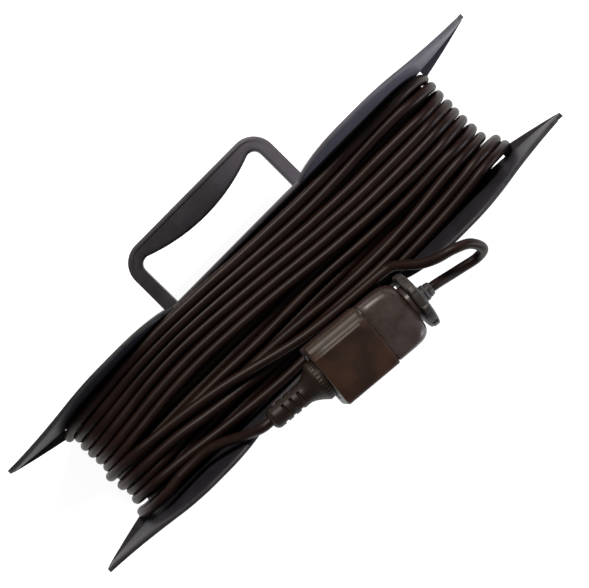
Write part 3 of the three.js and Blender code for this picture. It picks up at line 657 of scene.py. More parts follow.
# ---------------------------------------------------------------- cables
@dataclass
class Hank:
    """The cable wound doubled round the core: both its ends lie outside, its fold is innermost.

    The reel's long section is followed by stations. At each station a strand has a lane (y) and a
    height over the saddle surface, and strands push each other apart there until they all fit.
    """

    diameter: float = 6.2
    saddle_radius: float = 9.0
    saddle_x: float = 124.0
    inner_half: float = 34.4
    straight: int = 26
    bend: int = 14
    rounds: int = 420
    seed: int = 11
    start_x: float = 48.0
    plug_lead_x: float = -120.0
    fold_x: float = 40.0
    lead_height: float = 20.34
    layers: tuple[float, float] = (3.1, 8.47)
    hang: float = 6.5
    wall_gap: float = 0.3
    push: float = 0.34
    smoothing: float = 0.13
    pull: tuple[float, float] = (0.08, 0.035)
    early_share: float = 0.6
    last_pushes: int = 12
    wander: tuple[float, float] = (2.2, 0.7)
    wander_rounds: int = 30
    # The two loosest turns stand this far off the right saddle.
    loose_lift: dict[str, float] = field(default_factory=lambda: {"A0": 8.4, "B0": 6.8})
    # Front keys of the outer passes: (x, lane, height), from the right end to the left.
    outer: dict[str, list[Point]] = field(default_factory=lambda: {
        "A0": [(48, -30.9, 20.34), (30, -29, 18.4), (8, -27.4, 16.6), (-14, -26.2, 17.6), (-48, -14.7, 20),
               (-80, -8, 19.4), (-110, -4.5, 18), (-124, -3.4, 16.4)],
        "B0": [(-120, -30.9, 20.34), (-124, -32.2, 19.4)],
        "A1": [(124, -31.5, 14.5), (105, -34.5, 13.8), (65, -35, 13.8), (39, -34.5, 12.6), (0, -34, 12.8),
               (-34, -35.4, 13.6), (-60, -32, 13.84), (-83, -30, 13.84), (-112, -24.6, 14.6),
               (-124, -23, 16.4)],
        "B1": [(124, -24.5, 14.5), (100, -28.6, 13.84), (67, -29.3, 13.84), (30, -29, 12.6), (0, -28.5, 12),
               (-30, -26.4, 12.6), (-52, -22.3, 13.84), (-92, -14.6, 14.4), (-124, -11.6, 16)],
        "A2": [(124, -17, 13.84), (98, -21.2, 13.84), (74, -23.2, 13.84), (45, -24.6, 13.84),
               (22, -22.3, 13.84),
               (-3, -18, 13.2), (-19, -16.4, 12.2), (-44, -15, 10.5), (-90, -15.5, 9.6), (-124, -17, 10)],
        "B2": [(124, -9.5, 13.84), (91, -12.9, 10.5), (50, -10, 7), (13, -5, 5), (-29, -8.6, 4.6),
               (-77, -6, 6.4), (-124, -6.5, 9)],
        "A3": [(124, -2.5, 13.84), (70, -3.4, 13.84), (35, -0.6, 13.84), (-8, 5.2, 13.84), (-66, 10, 14.2),
               (-100, 8.6, 14.4), (-124, 2.8, 13.84)],
        "B3": [(124, 4.2, 13.84), (60, 3.2, 13.84), (-8, 11, 13.84), (-66, 16.4, 15), (-100, 15, 15.4),
               (-124, 9, 13.84)],
        "A4": [(124, 11, 13.84), (60, 9.6, 13.84), (-8, 17, 14), (-66, 22.4, 16.4), (-100, 21, 17),
               (-124, 15.2, 13.84)],
        "B4": [(124, 18, 13.84), (60, 16.2, 13.84), (-8, 22.6, 14.2), (-66, 28.2, 18.8), (-100, 27, 19.6),
               (-124, 21.3, 14)],
        "A5": [(124, 25.6, 13.84), (90, 25.6, 14.5), (50, 24.5, 14.5), (-8, 28.8, 15.2), (-66, 33.6, 22.4),
               (-100, 32.8, 22.8), (-124, 27.4, 14.4)],
        "B5": [(124, 33.8, 14.2), (92, 34, 16.5), (50, 32, 15.4), (-8, 34.6, 17), (-66, 38.9, 26.2),
               (-104, 38.4, 25), (-124, 35, 16)],
    })

    def __post_init__(self) -> None:
        """Lays out the stations once round the core, from the right end of the front."""
        r, sx = self.saddle_radius, self.saddle_x
        base, out = [], []
        for i in range(self.straight):
            base.append((sx - 2 * sx * i / self.straight, r))
            out.append((0.0, 1.0))
        for i in range(self.bend):
            a = math.radians(90 + 180 * i / self.bend)
            base.append((-sx + r * math.cos(a), r * math.sin(a)))
            out.append((math.cos(a), math.sin(a)))
        for i in range(self.straight):
            base.append((-sx + 2 * sx * i / self.straight, -r))
            out.append((0.0, -1.0))
        for i in range(self.bend):
            a = math.radians(-90 + 180 * i / self.bend)
            base.append((sx + r * math.cos(a), r * math.sin(a)))
            out.append((math.cos(a), math.sin(a)))
        self.base = np.array(base)
        self.out = np.array(out)
        self.stations = len(base)

    def fronts(self) -> tuple[dict[str, list[Point]], int, int]:
        """Front keys of every pass.

        Returns:
            The keys by the pass's name, and how many passes each half of the cable makes.
        """
        keys = dict(self.outer)
        low, mid = self.layers
        names = [f"{h}{i}" for i in range(6, 11) for h in "AB"]
        for i, name in enumerate(names):
            y = 27.9 - 6.2 * i
            sag = 5.4 * math.exp(-(((y + 11) / 10) ** 2))
            drift = 1.6 * math.sin(1.7 * i + 0.4)
            keys[name] = [(124, 32.4 - 7.2 * i, mid), (90, y + drift, mid - 0.5 * sag),
                          (45, y + drift, 8.4 - 0.9 * sag), (0, y - 0.6 * drift, 8.3 - sag),
                          (-60, y + 0.4 * drift, mid - 0.8 * sag), (-124, y, mid)]
        inner = [f"{h}{i}" for i in range(11, 15) for h in "AB"] + ["A15"]
        for i, name in enumerate(inner):
            y, left = -31 + 6.2 * i, -31 + 7.75 * i
            sag = 6.3 * math.exp(-(((y + 12) / 13) ** 2))
            keys[name] = [(124, y, low), (70, y, 3.0 - 0.5 * sag), (20, (y + left) / 2, 3.0 - sag),
                          (-50, (y + left) / 2, 3.0 - sag), (-124, left, low)]
        # The two legs of the fold lie under everything else, between the saddles.
        keys["B15"] = [(124, 24.8, low), (80, 18, -0.5), (self.fold_x, 3, -3.4), (-124, 3, -3.4)]
        keys["A16"] = [(124, 31, low), (80, 30, -0.5), (self.fold_x, 29, -3.4), (-124, 29, -3.4)]
        return keys, 17, 16

    def settled(self) -> tuple[np.ndarray, list[tuple[int, int]]]:
        """Lane and height of every strand at every station, once they have pushed apart.

        Returns:
            An array [row, station, 2], and the first and last row of each half.
        """
        keys, count_a, count_b = self.fronts()
        halves = [[f"A{i}" for i in range(count_a)], [f"B{i}" for i in range(count_b)]]
        n_front, n_bend = self.straight, self.bend
        rows, live = [], []
        fronts_x = self.base[:n_front, 0]
        for names in halves:
            for k, name in enumerate(names):
                pts = sorted(keys[name])
                xs, ys, hs = (np.array([p[i] for p in pts]) for i in range(3))
                row = np.zeros((self.stations, 2))
                row[:n_front, 0] = np.interp(fronts_x, xs, ys)
                row[:n_front, 1] = np.interp(fronts_x, xs, hs)
                left = np.array([ys[0], hs[0]])
                after = keys[names[k + 1]] if k + 1 < len(names) else pts
                right = np.array(max(after)[1:])
                row[n_front:n_front + n_bend] = left
                share = np.linspace(0, 1, n_front)[:, None]
                share = share * share * (3 - 2 * share)
                back = left + (right - left) * share
                crossing = abs(right[0] - left[0])
                if k < 4:
                    back[:, 1] += min(5.4, crossing * 0.3) * np.sin(np.pi * share[:, 0])
                row[n_front + n_bend:2 * n_front + n_bend] = back
                row[2 * n_front + n_bend:] = right
                if name in self.loose_lift:
                    swell = np.sin(np.linspace(0.15, 0.9, n_bend) * np.pi) ** 0.7
                    row[2 * n_front + n_bend:, 1] += self.loose_lift[name] * swell
                alive = np.ones(self.stations, bool)
                if name == "A0":
                    alive[:n_front] = fronts_x <= self.start_x
                if name == "B0":
                    alive[:n_front] = fronts_x <= self.plug_lead_x
                if k + 1 == len(names):
                    alive[:] = False
                    alive[:n_front] = fronts_x >= self.fold_x
                rows.append(row)
                live.append(alive)
        target, live = np.array(rows), np.array(live)
        rng = np.random.default_rng(self.seed)
        wander = rng.normal(0, 1, target.shape)
        for _ in range(self.wander_rounds):
            wander[:, 1:-1] = (wander[:, :-2] + wander[:, 2:] + wander[:, 1:-1]) / 3
        target = target + wander * np.array(self.wander)
        spans = [(0, count_a), (count_a, count_a + count_b)]
        return self.push_apart(target, live, spans), live, spans

    def push_apart(self, target: np.ndarray, live: np.ndarray, spans: list[tuple[int, int]]) -> np.ndarray:
        """Moves strands off each other, off the core and off the cheeks, keeping them smooth.

        Args:
            target: where they would like to be, as [row, station, 2].
            live: where each row has cable.
            spans: the first and last row of each half.

        Returns:
            The settled lanes and heights.
        """
        place = target.copy()
        both = live[:, None, :] & live[None, :, :]
        both &= ~np.eye(len(place), dtype=bool)[:, :, None]
        x, out_z = self.base[:, 0], self.out[:, 1]
        for turn in range(self.rounds):
            if turn < self.rounds - self.last_pushes:
                place += (target - place) * self.pull[turn >= self.rounds * self.early_share]
                for low, high in spans:
                    flat = place[low:high].reshape(-1, 2)
                    alive = live[low:high].reshape(-1)
                    inner = alive[1:-1] & alive[:-2] & alive[2:]
                    bend = flat[:-2] + flat[2:] - 2 * flat[1:-1]
                    flat[1:-1] += self.smoothing * bend * inner[:, None]
                    place[low:high] = flat.reshape(high - low, self.stations, 2)
            gap = place[:, None] - place[None, :]
            far = np.sqrt((gap ** 2).sum(-1)) + 1e-6
            overlap = np.where(both & (far < self.diameter), self.diameter - far, 0)
            place += (gap / far[..., None] * overlap[..., None]).sum(1) * self.push
            self.hold(place, x, out_z)
        return place

    def hold(self, place: np.ndarray, x: np.ndarray, out_z: np.ndarray) -> None:
        """Keeps strands outside the core, between the cheeks and under the socket, in place.

        Args:
            place: lanes and heights, changed in place.
            x: each station's x.
            out_z: the z of each station's outward direction.
        """
        slack = np.clip((self.saddle_x - np.abs(x)) / 80, 0, 1)
        over_fold = np.clip((x - 15) / 15, 0, 1)[None] * np.clip((place[..., 0] + 4) / 4, 0, 1)
        rest = self.layers[0]
        floor = np.where(out_z > 0.99, rest - self.hang * slack * (1 - over_fold), rest)
        legs = np.zeros(len(place), bool)
        legs[[16, 32]] = True  # the fold's two legs, the last row of each half
        low = np.where(legs[:, None], rest - self.hang * np.clip((self.saddle_x - x) / 60, 0, 1), floor)
        place[..., 1] = np.maximum(place[..., 1], low)
        depth = np.abs(self.base[:, 1] + self.out[:, 1] * place[..., 1])
        wall = self.inner_half + SPLAY * np.maximum(0, depth - 5) - self.diameter / 2 - self.wall_gap
        place[..., 0] = np.clip(place[..., 0], -wall, wall)
        under = (x > -22) & (x < 50) & (out_z > 0.99)
        roof = 28.3 - 0.0872 * (x + 19) - 3.4 - self.saddle_radius
        roof = roof[None] + 1.3 * np.maximum(0, place[..., 0] + 33.5)
        held = under[None] & (np.arange(len(place)) > 0)[:, None]
        place[..., 1] = np.where(held, np.minimum(place[..., 1], roof), place[..., 1])

    def route(self) -> list[Vector]:
        """The whole centreline, from the socket's lead to the plug's lead.

        Returns:
            Its points in the row frame, in metres.
        """
        place, live, spans = self.settled()
        halves = []
        for low, high in spans:
            pts = []
            for row in range(low, high):
                for s in range(self.stations):
                    if live[row, s]:
                        y, h = place[row, s]
                        bx, bz = self.base[s] + self.out[s] * h
                        pts.append(REEL.at(bx, y, bz))
            halves.append(pts)
        first, second = halves
        top = self.lead_height + self.saddle_radius
        start = [REEL.at(self.start_x + d, LEAD_LANE, top) for d in (4, 0)]
        finish = [REEL.at(self.plug_lead_x + d, LEAD_LANE, top) for d in (0, 5)]
        fold = []
        a, b = first[-1], second[-1]
        middle, half = (a + b) / 2, (a - b) / 2
        for i in range(1, 12):
            t = math.pi * i / 12
            fold.append(middle + half * math.cos(t) + Vector((-half.length * math.sin(t), 0, 0)))
        return [*start, *first[1:], *fold, *second[:0:-1], *finish]

    def build(self) -> bpy.types.Object:
        """The wound cable as one long curve.

        Returns:
            The curve.
        """
        route = self.route()
        curve = bpy.data.curves.new("cable_hank", "CURVE")
        curve.dimensions = "3D"
        curve.bevel_depth = self.diameter / 2 * MM
        curve.bevel_resolution = 5
        curve.use_fill_caps = True
        spline = curve.splines.new("POLY")
        spline.points.add(len(route) - 1)
        spline.points.foreach_set("co", [c for p in route for c in (*p, 1.0)])
        spline.use_smooth = True
        hank = linked("cable_hank", curve)
        SHEATH.dress(hank)
        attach(hank, Body.REEL.value)
        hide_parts("cable_winding")
        return hank


@dataclass
class Leads:
    """The two free stretches of cable, from the socket and from the plug to the winding."""

    diameter: float = 6.2
    pack_z: float = 29.34
    gland_end: float = 76.5
    plug_end: float = -39.95
    step: float = 2.0
    on_socket: tuple[str, ...] = (
        "socket_front_housing", "socket_partition", "socket_rear_housing", "socket_seam", "socket_cap_disc",
        "socket_cord_bush", "socket_contact_carrier", "socket_contact_live", "socket_contact_neutral",
        "socket_core_live", "socket_core_neutral", "terminal_screw_live", "terminal_screw_neutral",
        "cord_clamp_bar", "clamp_screw_upper", "clamp_screw_lower", "shell_screw_upper", "shell_screw_lower")
    on_plug: tuple[str, ...] = ("plug_moulded_body", "plug_bridge", "plug_pin_live", "plug_pin_neutral")

    def socket_route(self) -> list[Vector]:
        """Out of the gland, round one loop and over the cheek's edge to the winding.

        Returns:
            The points it passes through, in metres.
        """
        fixed = [(82, -61.5, 34), (94, -64, 34), (99.5, -62, 42), (95.5, -54, 50), (86, -49.3, 53),
                 (76, -46.5, 50.5), (67.5, -42.5, 44), (60.5, -36.5, 36), (54.5, -32.2, 30.4),
                 (48, LEAD_LANE, self.pack_z)]
        axis = [COUPLING.at(x, 0, 0) for x in (60, 68, self.gland_end, 82.5)]
        return [*axis, *(REEL.at(*p) for p in fixed)]

    def plug_route(self) -> list[Vector]:
        """Out of the plug's neck and down over the cheek's edge to the winding.

        Returns:
            The points it passes through, in metres.
        """
        fixed = [(-74, -40.5, 45.5), (-86, -35, 37), (-98, -31.5, self.pack_z + 1.5),
                 (-110, LEAD_LANE, self.pack_z), (-120, LEAD_LANE, self.pack_z)]
        axis = [COUPLING.at(x, 0, 0) for x in (-27.95, -34.95, self.plug_end, -44.95)]
        return [*axis, *(REEL.at(*p) for p in fixed)]

    def declare(self, name: str, points: Sequence[Vector], exit_point: Vector, node: str) -> bpy.types.Object:
        """Args:
            name: the new object's name.
            points: the route, from the connector to the winding.
            exit_point: where it leaves the connector; not used.
            node: the CAD tube that it stands for.

        Returns:
            The tube.
        """
        route = smooth_route(points, self.step * MM)
        lead = tube(name, route, self.diameter / 2 * MM)
        SHEATH.dress(lead)
        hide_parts(node)
        return lead

    def build(self) -> None:
        """Both leads. The socket's lead rides on the reel; the plug's lead, between the reel and the plug,
        rides on neither body.
        """
        socket = self.declare("socket_lead_cable", self.socket_route(), COUPLING.at(self.gland_end, 0, 0),
                              "socket_lead")
        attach(socket, Body.REEL.value)
        plug = self.declare("plug_lead_cable", self.plug_route(), COUPLING.at(self.plug_end, 0, 0),
                            "plug_lead")
        tuple(COUPLING.at(-44, 0, 0))
        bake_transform(plug)


# ---------------------------------------------------------------- cheeks and handle
@dataclass
class Cheek:
    """One splayed cheek: a folded blade with rounded lips and a stiffening rib in each horn."""

    side: Side
    length: float = 382
    depth: float = 92
    wall: float = 3
    inner_half: float = 34.4
    spine_half: float = 5
    curl_start: float = 110
    tip_curl: float = 5.6
    lip: float = 1.1
    rib_start: float = 150.24
    rib_reach: float = 5
    rib_thickness: float = 3
    tip_shrink: float = 0.82
    tip_setback: float = 0.7

    def curl(self, x: float) -> float:
        """How far the horn curls outwards at x."""
        past = max(0.0, abs(x) - self.curl_start) / (self.length / 2 - self.curl_start)
        return self.tip_curl * past * past

    def half_depths(self) -> list[tuple[float, float]]:
        """The right half of the blade's edge, from the middle to the tip.

        Returns:
            Pairs of x and half depth.
        """
        full = self.depth / 2

        def bow(a: tuple, b: tuple, c: tuple, steps: int) -> list[tuple[float, float]]:
            """A quadratic curve.

            Args:
                a: its first point, left out.
                b: its control point.
                c: its last point.
                steps: how many points.

            Returns:
                The points after the first.
            """
            found = []
            for i in range(1, steps + 1):
                t = i / steps
                found.append(tuple((1 - t) ** 2 * p + 2 * t * (1 - t) * q + t * t * r
                                   for p, q, r in zip(a, b, c)))
            return found

        edge = [(52 * i / 6, 23.75) for i in range(7)]
        edge += bow((52, 23.75), (66, full - 1), (94, full), 14)
        edge += [(98, full), (102, full), (106, full)]
        edge += bow((106, full), (121.5, full), (137, 37), 9)
        edge += [(137 + 54 * i / 14, 37 - 31 * i / 14) for i in range(1, 15)]
        return edge

    def face_y(self, x: float, z: float) -> float:
        """The inner face's distance from the middle plane, eased where the blade folds.

        Args:
            x: along the reel.
            z: above the middle plane.

        Returns:
            Millimetres.
        """
        past = abs(z) - self.spine_half
        eased = 0.5 * (past + math.sqrt(past * past + 3.0))
        return self.inner_half + self.curl(x) + SPLAY * max(0.0, eased - 0.1)

    def section(self, x: float, half: float) -> Loop:
        """The closed outline of the blade: inner face, lip, outer face, lip.

        Args:
            x: along the reel.
            half: half its depth there.

        Returns:
            The ring.
        """
        upper = [0.08, 0.16, 0.26, 0.38, 0.54, 0.7, 0.86, 1]
        levels = [-t for t in reversed(upper)] + [0] + upper
        flat = half - self.lip
        inner = [(self.face_y(x, flat * t), flat * t) for t in levels]
        outer = [(y + self.wall, z) for y, z in reversed(inner)]
        top_y = self.face_y(x, half)
        round_top = [(top_y + self.wall * 0.1, half - 0.32), (top_y + self.wall * 0.3, half),
                     (top_y + self.wall * 0.7, half), (top_y + self.wall * 0.9, half - 0.32)]
        round_low = [(y, -z) for y, z in reversed(round_top)]
        loop = inner + round_top + outer + round_low
        return [REEL.at(x, self.side.value * y, z) for y, z in loop]

    def blade(self) -> bpy.types.Object:
        """The blade from tip to tip.

        Returns:
            The new object.
        """
        half = self.half_depths()
        whole = [(-x, d) for x, d in reversed(half[1:])] + half
        rings = [self.section(x, d) for x, d in whole]
        for sign, at in ((-1, 0), (1, len(rings))):
            near = at - (at > 0)
            ring = rings[near]
            centre = sum(ring, Vector()) / len(ring)
            rings[near] = [p - Vector((sign * self.tip_setback * MM, 0, 0)) for p in ring]
            rings.insert(at, [centre + (p - centre) * self.tip_shrink for p in ring])
        return lofted(f"{self.side.name.lower()}_cheek_blade", rings, 42)

    def rib(self, end: int) -> bpy.types.Object:
        """The web down the middle of one horn, tapering out towards the tip.

        Args:
            end: -1 for the left horn, 1 for the right.

        Returns:
            The new object.
        """
        rings = []
        tip = self.length / 2 - 1.5
        for i in range(15):
            t = i / 14
            x = self.rib_start + (tip - self.rib_start) * t
            root = self.inner_half + self.curl(x) + 1.2
            crest = root - 1.2 - self.rib_reach * (1 - t) - 0.15
            h = self.rib_thickness / 2 * (1 - 0.35 * t)
            loop = [(root, -h), (crest + 0.5, -h), (crest, -h + 0.5), (crest, h - 0.5), (crest + 0.5, h),
                    (root, h)]
            rings.append([REEL.at(end * x, self.side.value * y, z) for y, z in loop])
        return lofted(f"{self.side.name.lower()}_cheek_rib_{'left' if end < 0 else 'right'}", rings)

    def build(self) -> bpy.types.Object:
        """The cheek's blade with its two ribs, dressed and riding on the reel.

        Returns:
            The blade.
        """
        blade = self.blade()
        ribs = [self.rib(end) for end in (-1, 1)]
        for rib in ribs:
            rib.parent = blade
        CHEEK_PLASTIC.dress(blade, *ribs)
        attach(blade, Body.REEL.value)
        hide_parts("handle_cheek" if self.side is Side.HANDLE else "plain_cheek")
        log.info("%s", blade.name)
        return blade


@dataclass
class Handle:
    """The D-handle: two arms flared at their roots and a leaf-shaped grip with a raised outer rim."""

    half_width: float = 57.25
    arm: float = 8.7
    root_y: float = 36.6
    face_y: float = 37.4
    grip_y: float = 83.4
    end_width: float = 9.5
    grip_width: float = 17.4
    depth: float = 22
    corner: float = 15
    palm_corner: float = 6
    fillet: float = 5
    edge: float = 2.4
    rim: float = 2.2
    sink: float = 0.9

    def stations(self) -> list[tuple[tuple[float, float], tuple[float, float], float]]:
        """The handle's right half, from the root to the middle of the grip.

        Returns:
            Outer point, inner point and rim strength of each station.
        """
        w, inner = self.half_width, self.half_width - self.arm
        palm_end = self.grip_y - self.end_width
        palm_mid = 2 * (self.grip_y - self.grip_width) - palm_end
        found = []
        for y in (self.root_y, self.face_y, 37.9, 38.5, 39.2, 40.1, 41.2, 42.4, 46, 50, 54, 58, 62, 65.5):
            rise = min(1.0, max(0.0, (42.4 - y) / self.fillet))
            flare = self.fillet * (1 - math.sqrt(max(0.0, 1 - rise * rise)))
            found.append(((w + flare, y), (inner - flare, y), 0.0))
        for i in range(0, 11):
            t = i / 10
            a = math.radians(90 * t)
            outer = (w - self.corner + self.corner * math.cos(a),
                     self.grip_y - self.corner + self.corner * math.sin(a))
            low = palm_end - self.palm_corner
            ix = (1 - t) ** 2 * inner + 2 * t * (1 - t) * inner + t * t * (inner - self.palm_corner)
            iy = (1 - t) ** 2 * low + 2 * t * (1 - t) * palm_end + t * t * palm_end
            found.append((outer, (ix, iy), t * t * (3 - 2 * t) * 0.8))
        ox, ix = w - self.corner, inner - self.palm_corner
        for i in range(1, 15):
            t = 0.5 * i / 14
            iy = (1 - t) ** 2 * palm_end + 2 * t * (1 - t) * palm_mid + t * t * palm_end
            found.append(((ox * (1 - 2 * t), self.grip_y), (ix * (1 - 2 * t), iy), min(1.0, 0.8 + t)))
        return found

    def section(self, outer: tuple, inner: tuple, rim: float) -> Loop:
        """A rounded bar with a step beside its outer rim.

        Args:
            outer: the outer point (x, y).
            inner: the inner point (x, y).
            rim: how strong the step is, 0 to 1.

        Returns:
            The ring.
        """
        (ox, oy), (ix, iy) = outer, inner
        width = math.hypot(ox - ix, oy - iy)
        ex, ey = (ox - ix) / width, (oy - iy) / width
        half, e, s = self.depth / 2, self.edge, self.sink * rim
        face = []
        for i in range(5):
            a = math.radians(180 - 22.5 * i)
            face.append((e + e * math.cos(a), half - s - e + e * math.sin(a)))
        face.append((width * 0.5, half - s))
        face.append((width - self.rim - 0.9, half - s))
        face.append((width - self.rim - 0.3, half))
        for i in range(4):
            a = math.radians(90 - 30 * i)
            face.append((width - 1.3 + 1.3 * math.cos(a), half - 1.3 + 1.3 * math.sin(a)))
        loop = face + [(a, -z) for a, z in reversed(face)]
        return [REEL.at(ix + ex * a, iy + ey * a, z) for a, z in loop]

    def build(self, cheek: bpy.types.Object) -> bpy.types.Object:
        """The handle, joined to its cheek.

        Args:
            cheek: the blade that carries it.

        Returns:
            The new object.
        """
        half = self.stations()
        left = [((-o[0], o[1]), (-i[0], i[1]), rim) for o, i, rim in half]
        whole = half + left[-2::-1]
        handle = lofted("moulded_handle", [self.section(*s) for s in whole])
        CHEEK_PLASTIC.dress(handle)
        handle.parent = cheek
        log.info("moulded_handle")
        return handle


# ---------------------------------------------------------------- socket and plug
@dataclass
class Socket:
    """The brown trailing socket: two housings, the lugged cap and the cord's bush."""

    front_length: float = 38.7
    front_width: float = 41.5
    front_height: float = 38
    rear_start: float = 39.0
    rear_length: float = 25.5
    rear_width: float = 40
    rear_height: float = 36.6
    recess_radius: float = 13.8
    recess_depth: float = 9
    neck_radius: float = 12.4
    cap_start: float = 67.5
    cap_thickness: float = 5.8
    cap_radius: float = 18.4
    lugs: int = 8
    lug_height: float = 1.1
    pin_spacing: float = 19
    pin_hole: float = 2.3
    gland_end: float = 82

    def front_section(self, grow: float, ridge: float = 1.0) -> list[tuple[float, float]]:
        """The front housing's outline: flat top, a bead near one side, a sloping shoulder.

        Args:
            grow: how far it stands outside the nominal size.
            ridge: how strong the bead is, 0 to 1.

        Returns:
            A list of (y, z) in millimetres.
        """
        w, h = self.front_width / 2 + grow, self.front_height / 2 + grow
        points = []
        for i in range(6):  # round shoulder at the handle side
            a = math.radians(18 * i)
            points.append((w - 6 + 6 * math.cos(a), h - 1.8 - 6 + 6 * math.sin(a)))
        points += [(13.6, h - 1.45), (12.4, h - 1.05 + 0.35 * ridge), (11.5, h - 0.7 + 0.75 * ridge),
                   (10.5, h - 0.55 + 0.8 * ridge), (9.6, h - 0.4 + 0.4 * ridge), (8.6, h - 0.2), (4, h),
                   (-4, h), (-11, h)]
        for sy, sz, r, steps in ((-1, 1, 2.6, 5), (-1, -1, 6.5, 6), (1, -1, 6.5, 6)):
            start = {(-1, 1): 90, (-1, -1): 180, (1, -1): 270}[(sy, sz)]
            for i in range(steps + 1):
                a = math.radians(start + 90 * i / steps)
                points.append((sy * (w - r) + r * math.cos(a), sz * (h - r) + r * math.sin(a)))
            if (sy, sz) == (-1, 1):
                points += [(-w, 6), (-w, -4)]
            if (sy, sz) == (-1, -1):
                points += [(-6, -h), (6, -h)]
        points += [(w, -4), (w, 4)]
        return points

    def front(self) -> bpy.types.Object:
        """The front housing, with its round recess.

        Returns:
            The new object.
        """
        bm = bmesh.new()
        outline = [(0.0, -1.1, 1), (0.35, -0.45, 1), (1.1, 0, 1), (12, 0, 1), (24, 0, 1), (33.6, 0, 1),
                   (34.6, 0, 0.9), (35.4, 0, 0.1), (37.6, 0, 0), (38.3, -0.25, 0),
                   (self.front_length, -0.9, 0)]
        rings = []
        for x, grow, ridge in outline:
            rings.append([COUPLING.at(x, y, z) for y, z in self.front_section(grow, ridge)])
        mouth = []
        for y, z in self.front_section(-1.1, 1):
            a = math.atan2(z, y)
            mouth.append((math.cos(a), math.sin(a)))
        r, d = self.recess_radius, self.recess_depth
        inward = [(0.0, r + 3.4), (0.0, r + 2.6), (0.5, r + 2.2), (0.5, r + 1.2), (0.2, r + 0.8),
                  (0.35, r + 0.25), (0.9, r), (d, r), (d, r - 1.2)]
        hole_rings = [[COUPLING.at(x, c * rr, s * rr) for c, s in mouth] for x, rr in inward]
        add_loft(bm, [*reversed(hole_rings), *rings], start=False, end=True)
        return finished("socket_front_housing", bm, 34)

    def partition(self) -> bpy.types.Object:
        """The disc at the bottom of the recess, with its two pin holes.

        Returns:
            The new object.
        """
        bm = bmesh.new()
        r, d, hole, half = self.recess_radius - 0.2, self.recess_depth, self.pin_hole, self.pin_spacing / 2
        turns = [2 * math.pi * i / 24 for i in range(24)]
        rows: list[list[bmesh.types.BMVert]] = []
        for y0 in (half, -half):
            ring_small = [(y0 + hole * math.cos(t), hole * math.sin(t)) for t in turns]
            ring_big = []
            sign = 1 if y0 > 0 else -1
            for y, z in ring_small:
                a = math.atan2(z, y - y0)
                dy, dz = math.cos(a), math.sin(a)
                to_mid = (-sign * y0) / (sign * dy) if sign * dy < -1e-6 else 1e9
                b = y0 * dy
                to_rim = -b + math.sqrt(b * b - y0 * y0 + r * r)
                reach = min(abs(to_mid), to_rim)
                ring_big.append((y0 + dy * reach, dz * reach))
            ring_wide = [(y0 + (y - y0) * 1.12, z * 1.12) for y, z in ring_small]
            for x, ring in ((d + 2.2, ring_small), (d + 0.3, ring_small), (d, ring_wide)):
                rows.append([bm.verts.new(COUPLING.at(x, y, z)) for y, z in ring])
            rows.append([bm.verts.new(COUPLING.at(d, y, z)) for y, z in ring_big])
            for low, high in zip(rows[-4:], rows[-3:]):
                add_band(bm, low, high)
        return finished("socket_partition", bm)

    def rear(self) -> bpy.types.Object:
        """The rear housing: a collar at the seam, then a full round shoulder down to the neck.

        Returns:
            The new object.
        """
        w, h, x0, run = self.rear_width, self.rear_height, self.rear_start, self.rear_length
        steps = [(x0, -1.0, 4.5), (x0 + 0.4, -0.35, 4.8), (x0 + 1.0, 0, 5), (x0 + 6, 0, 5), (x0 + 12, 0, 5.4),
                 (x0 + 16, -0.15, 6)]
        for i in range(1, 9):
            a = math.radians(90 * i / 8)
            steps.append((x0 + 16 + 9.5 * math.sin(a), -0.15 - 6.6 * (1 - math.cos(a)), 6 + 3.2 * i / 8))
        rings = []
        for x, grow, r in steps:
            section = box_section(w + 2 * grow, h + 2 * grow, [r + 1, max(3.0, r - 1.4), r, r], 6)
            rings.append([COUPLING.at(x, y, z) for y, z in section])
        last = box_section(w - 13.5, h - 13.5, [9.2, 9, 9, 9], 6)
        angles = [math.atan2(z, y) for y, z in last]
        end = x0 + run
        neck = self.neck_radius
        for x, r in ((end + 0.02, neck + 0.4), (end + 0.4, neck), (67.2, neck)):
            rings.append([COUPLING.at(x, r * math.cos(a), r * math.sin(a)) for a in angles])
        return lofted("socket_rear_housing", rings, 34)

    def seam(self) -> bpy.types.Object:
        """The dark joint line between the two housings.

        Returns:
            The new object.
        """
        rings = []
        for x, grow in ((37.9, -1.5), (38.2, -1.15), (39.4, -1.15), (39.8, -1.5)):
            section = box_section(self.rear_width + 2 * grow, self.rear_height + 2 * grow, [4.6, 4, 5, 5], 6)
            rings.append([COUPLING.at(x, y, z) for y, z in section])
        return lofted("socket_seam", rings)

    def cap(self) -> bpy.types.Object:
        """The lugged disc behind the neck, with a dished face.

        Returns:
            The new object.
        """
        x0, t, r = self.cap_start, self.cap_thickness, self.cap_radius

        def rim(grow: float) -> Callable[[float], float]:
            """The disc's edge, with a flat-topped lug at each even place.

            Args:
                grow: how far it stands outside the nominal radius.

            Returns:
                The radius by angle.
            """
            def at(angle: float) -> float:
                """The radius at one angle.

                Args:
                    angle: in degrees.

                Returns:
                    Millimetres.
                """
                pitch = 360 / self.lugs
                off = abs((angle - pitch / 2) % pitch)
                off = min(off, pitch - off)
                rise = min(1.0, max(0.0, (7.6 - off) / 1.6))
                return r + grow + self.lug_height * rise
            return at

        profile = [(x0, r - 9), (x0, r - 1.2), (x0 + 0.9, rim(-0.15)), (x0 + 1.4, rim(0)),
                   (x0 + t - 1.6, rim(0)), (x0 + t - 0.9, rim(-0.2)), (x0 + t - 0.15, r - 1.0),
                   (x0 + t, r - 1.7), (x0 + t, r - 3.4), (x0 + t - 0.5, r - 3.9), (x0 + t - 0.5, 9.2),
                   (x0 + t - 0.1, 8.6), (x0 + t - 0.1, 6.4)]
        return lofted("socket_cap_disc", [circle(COUPLING, x, radius, 180) for x, radius in profile])

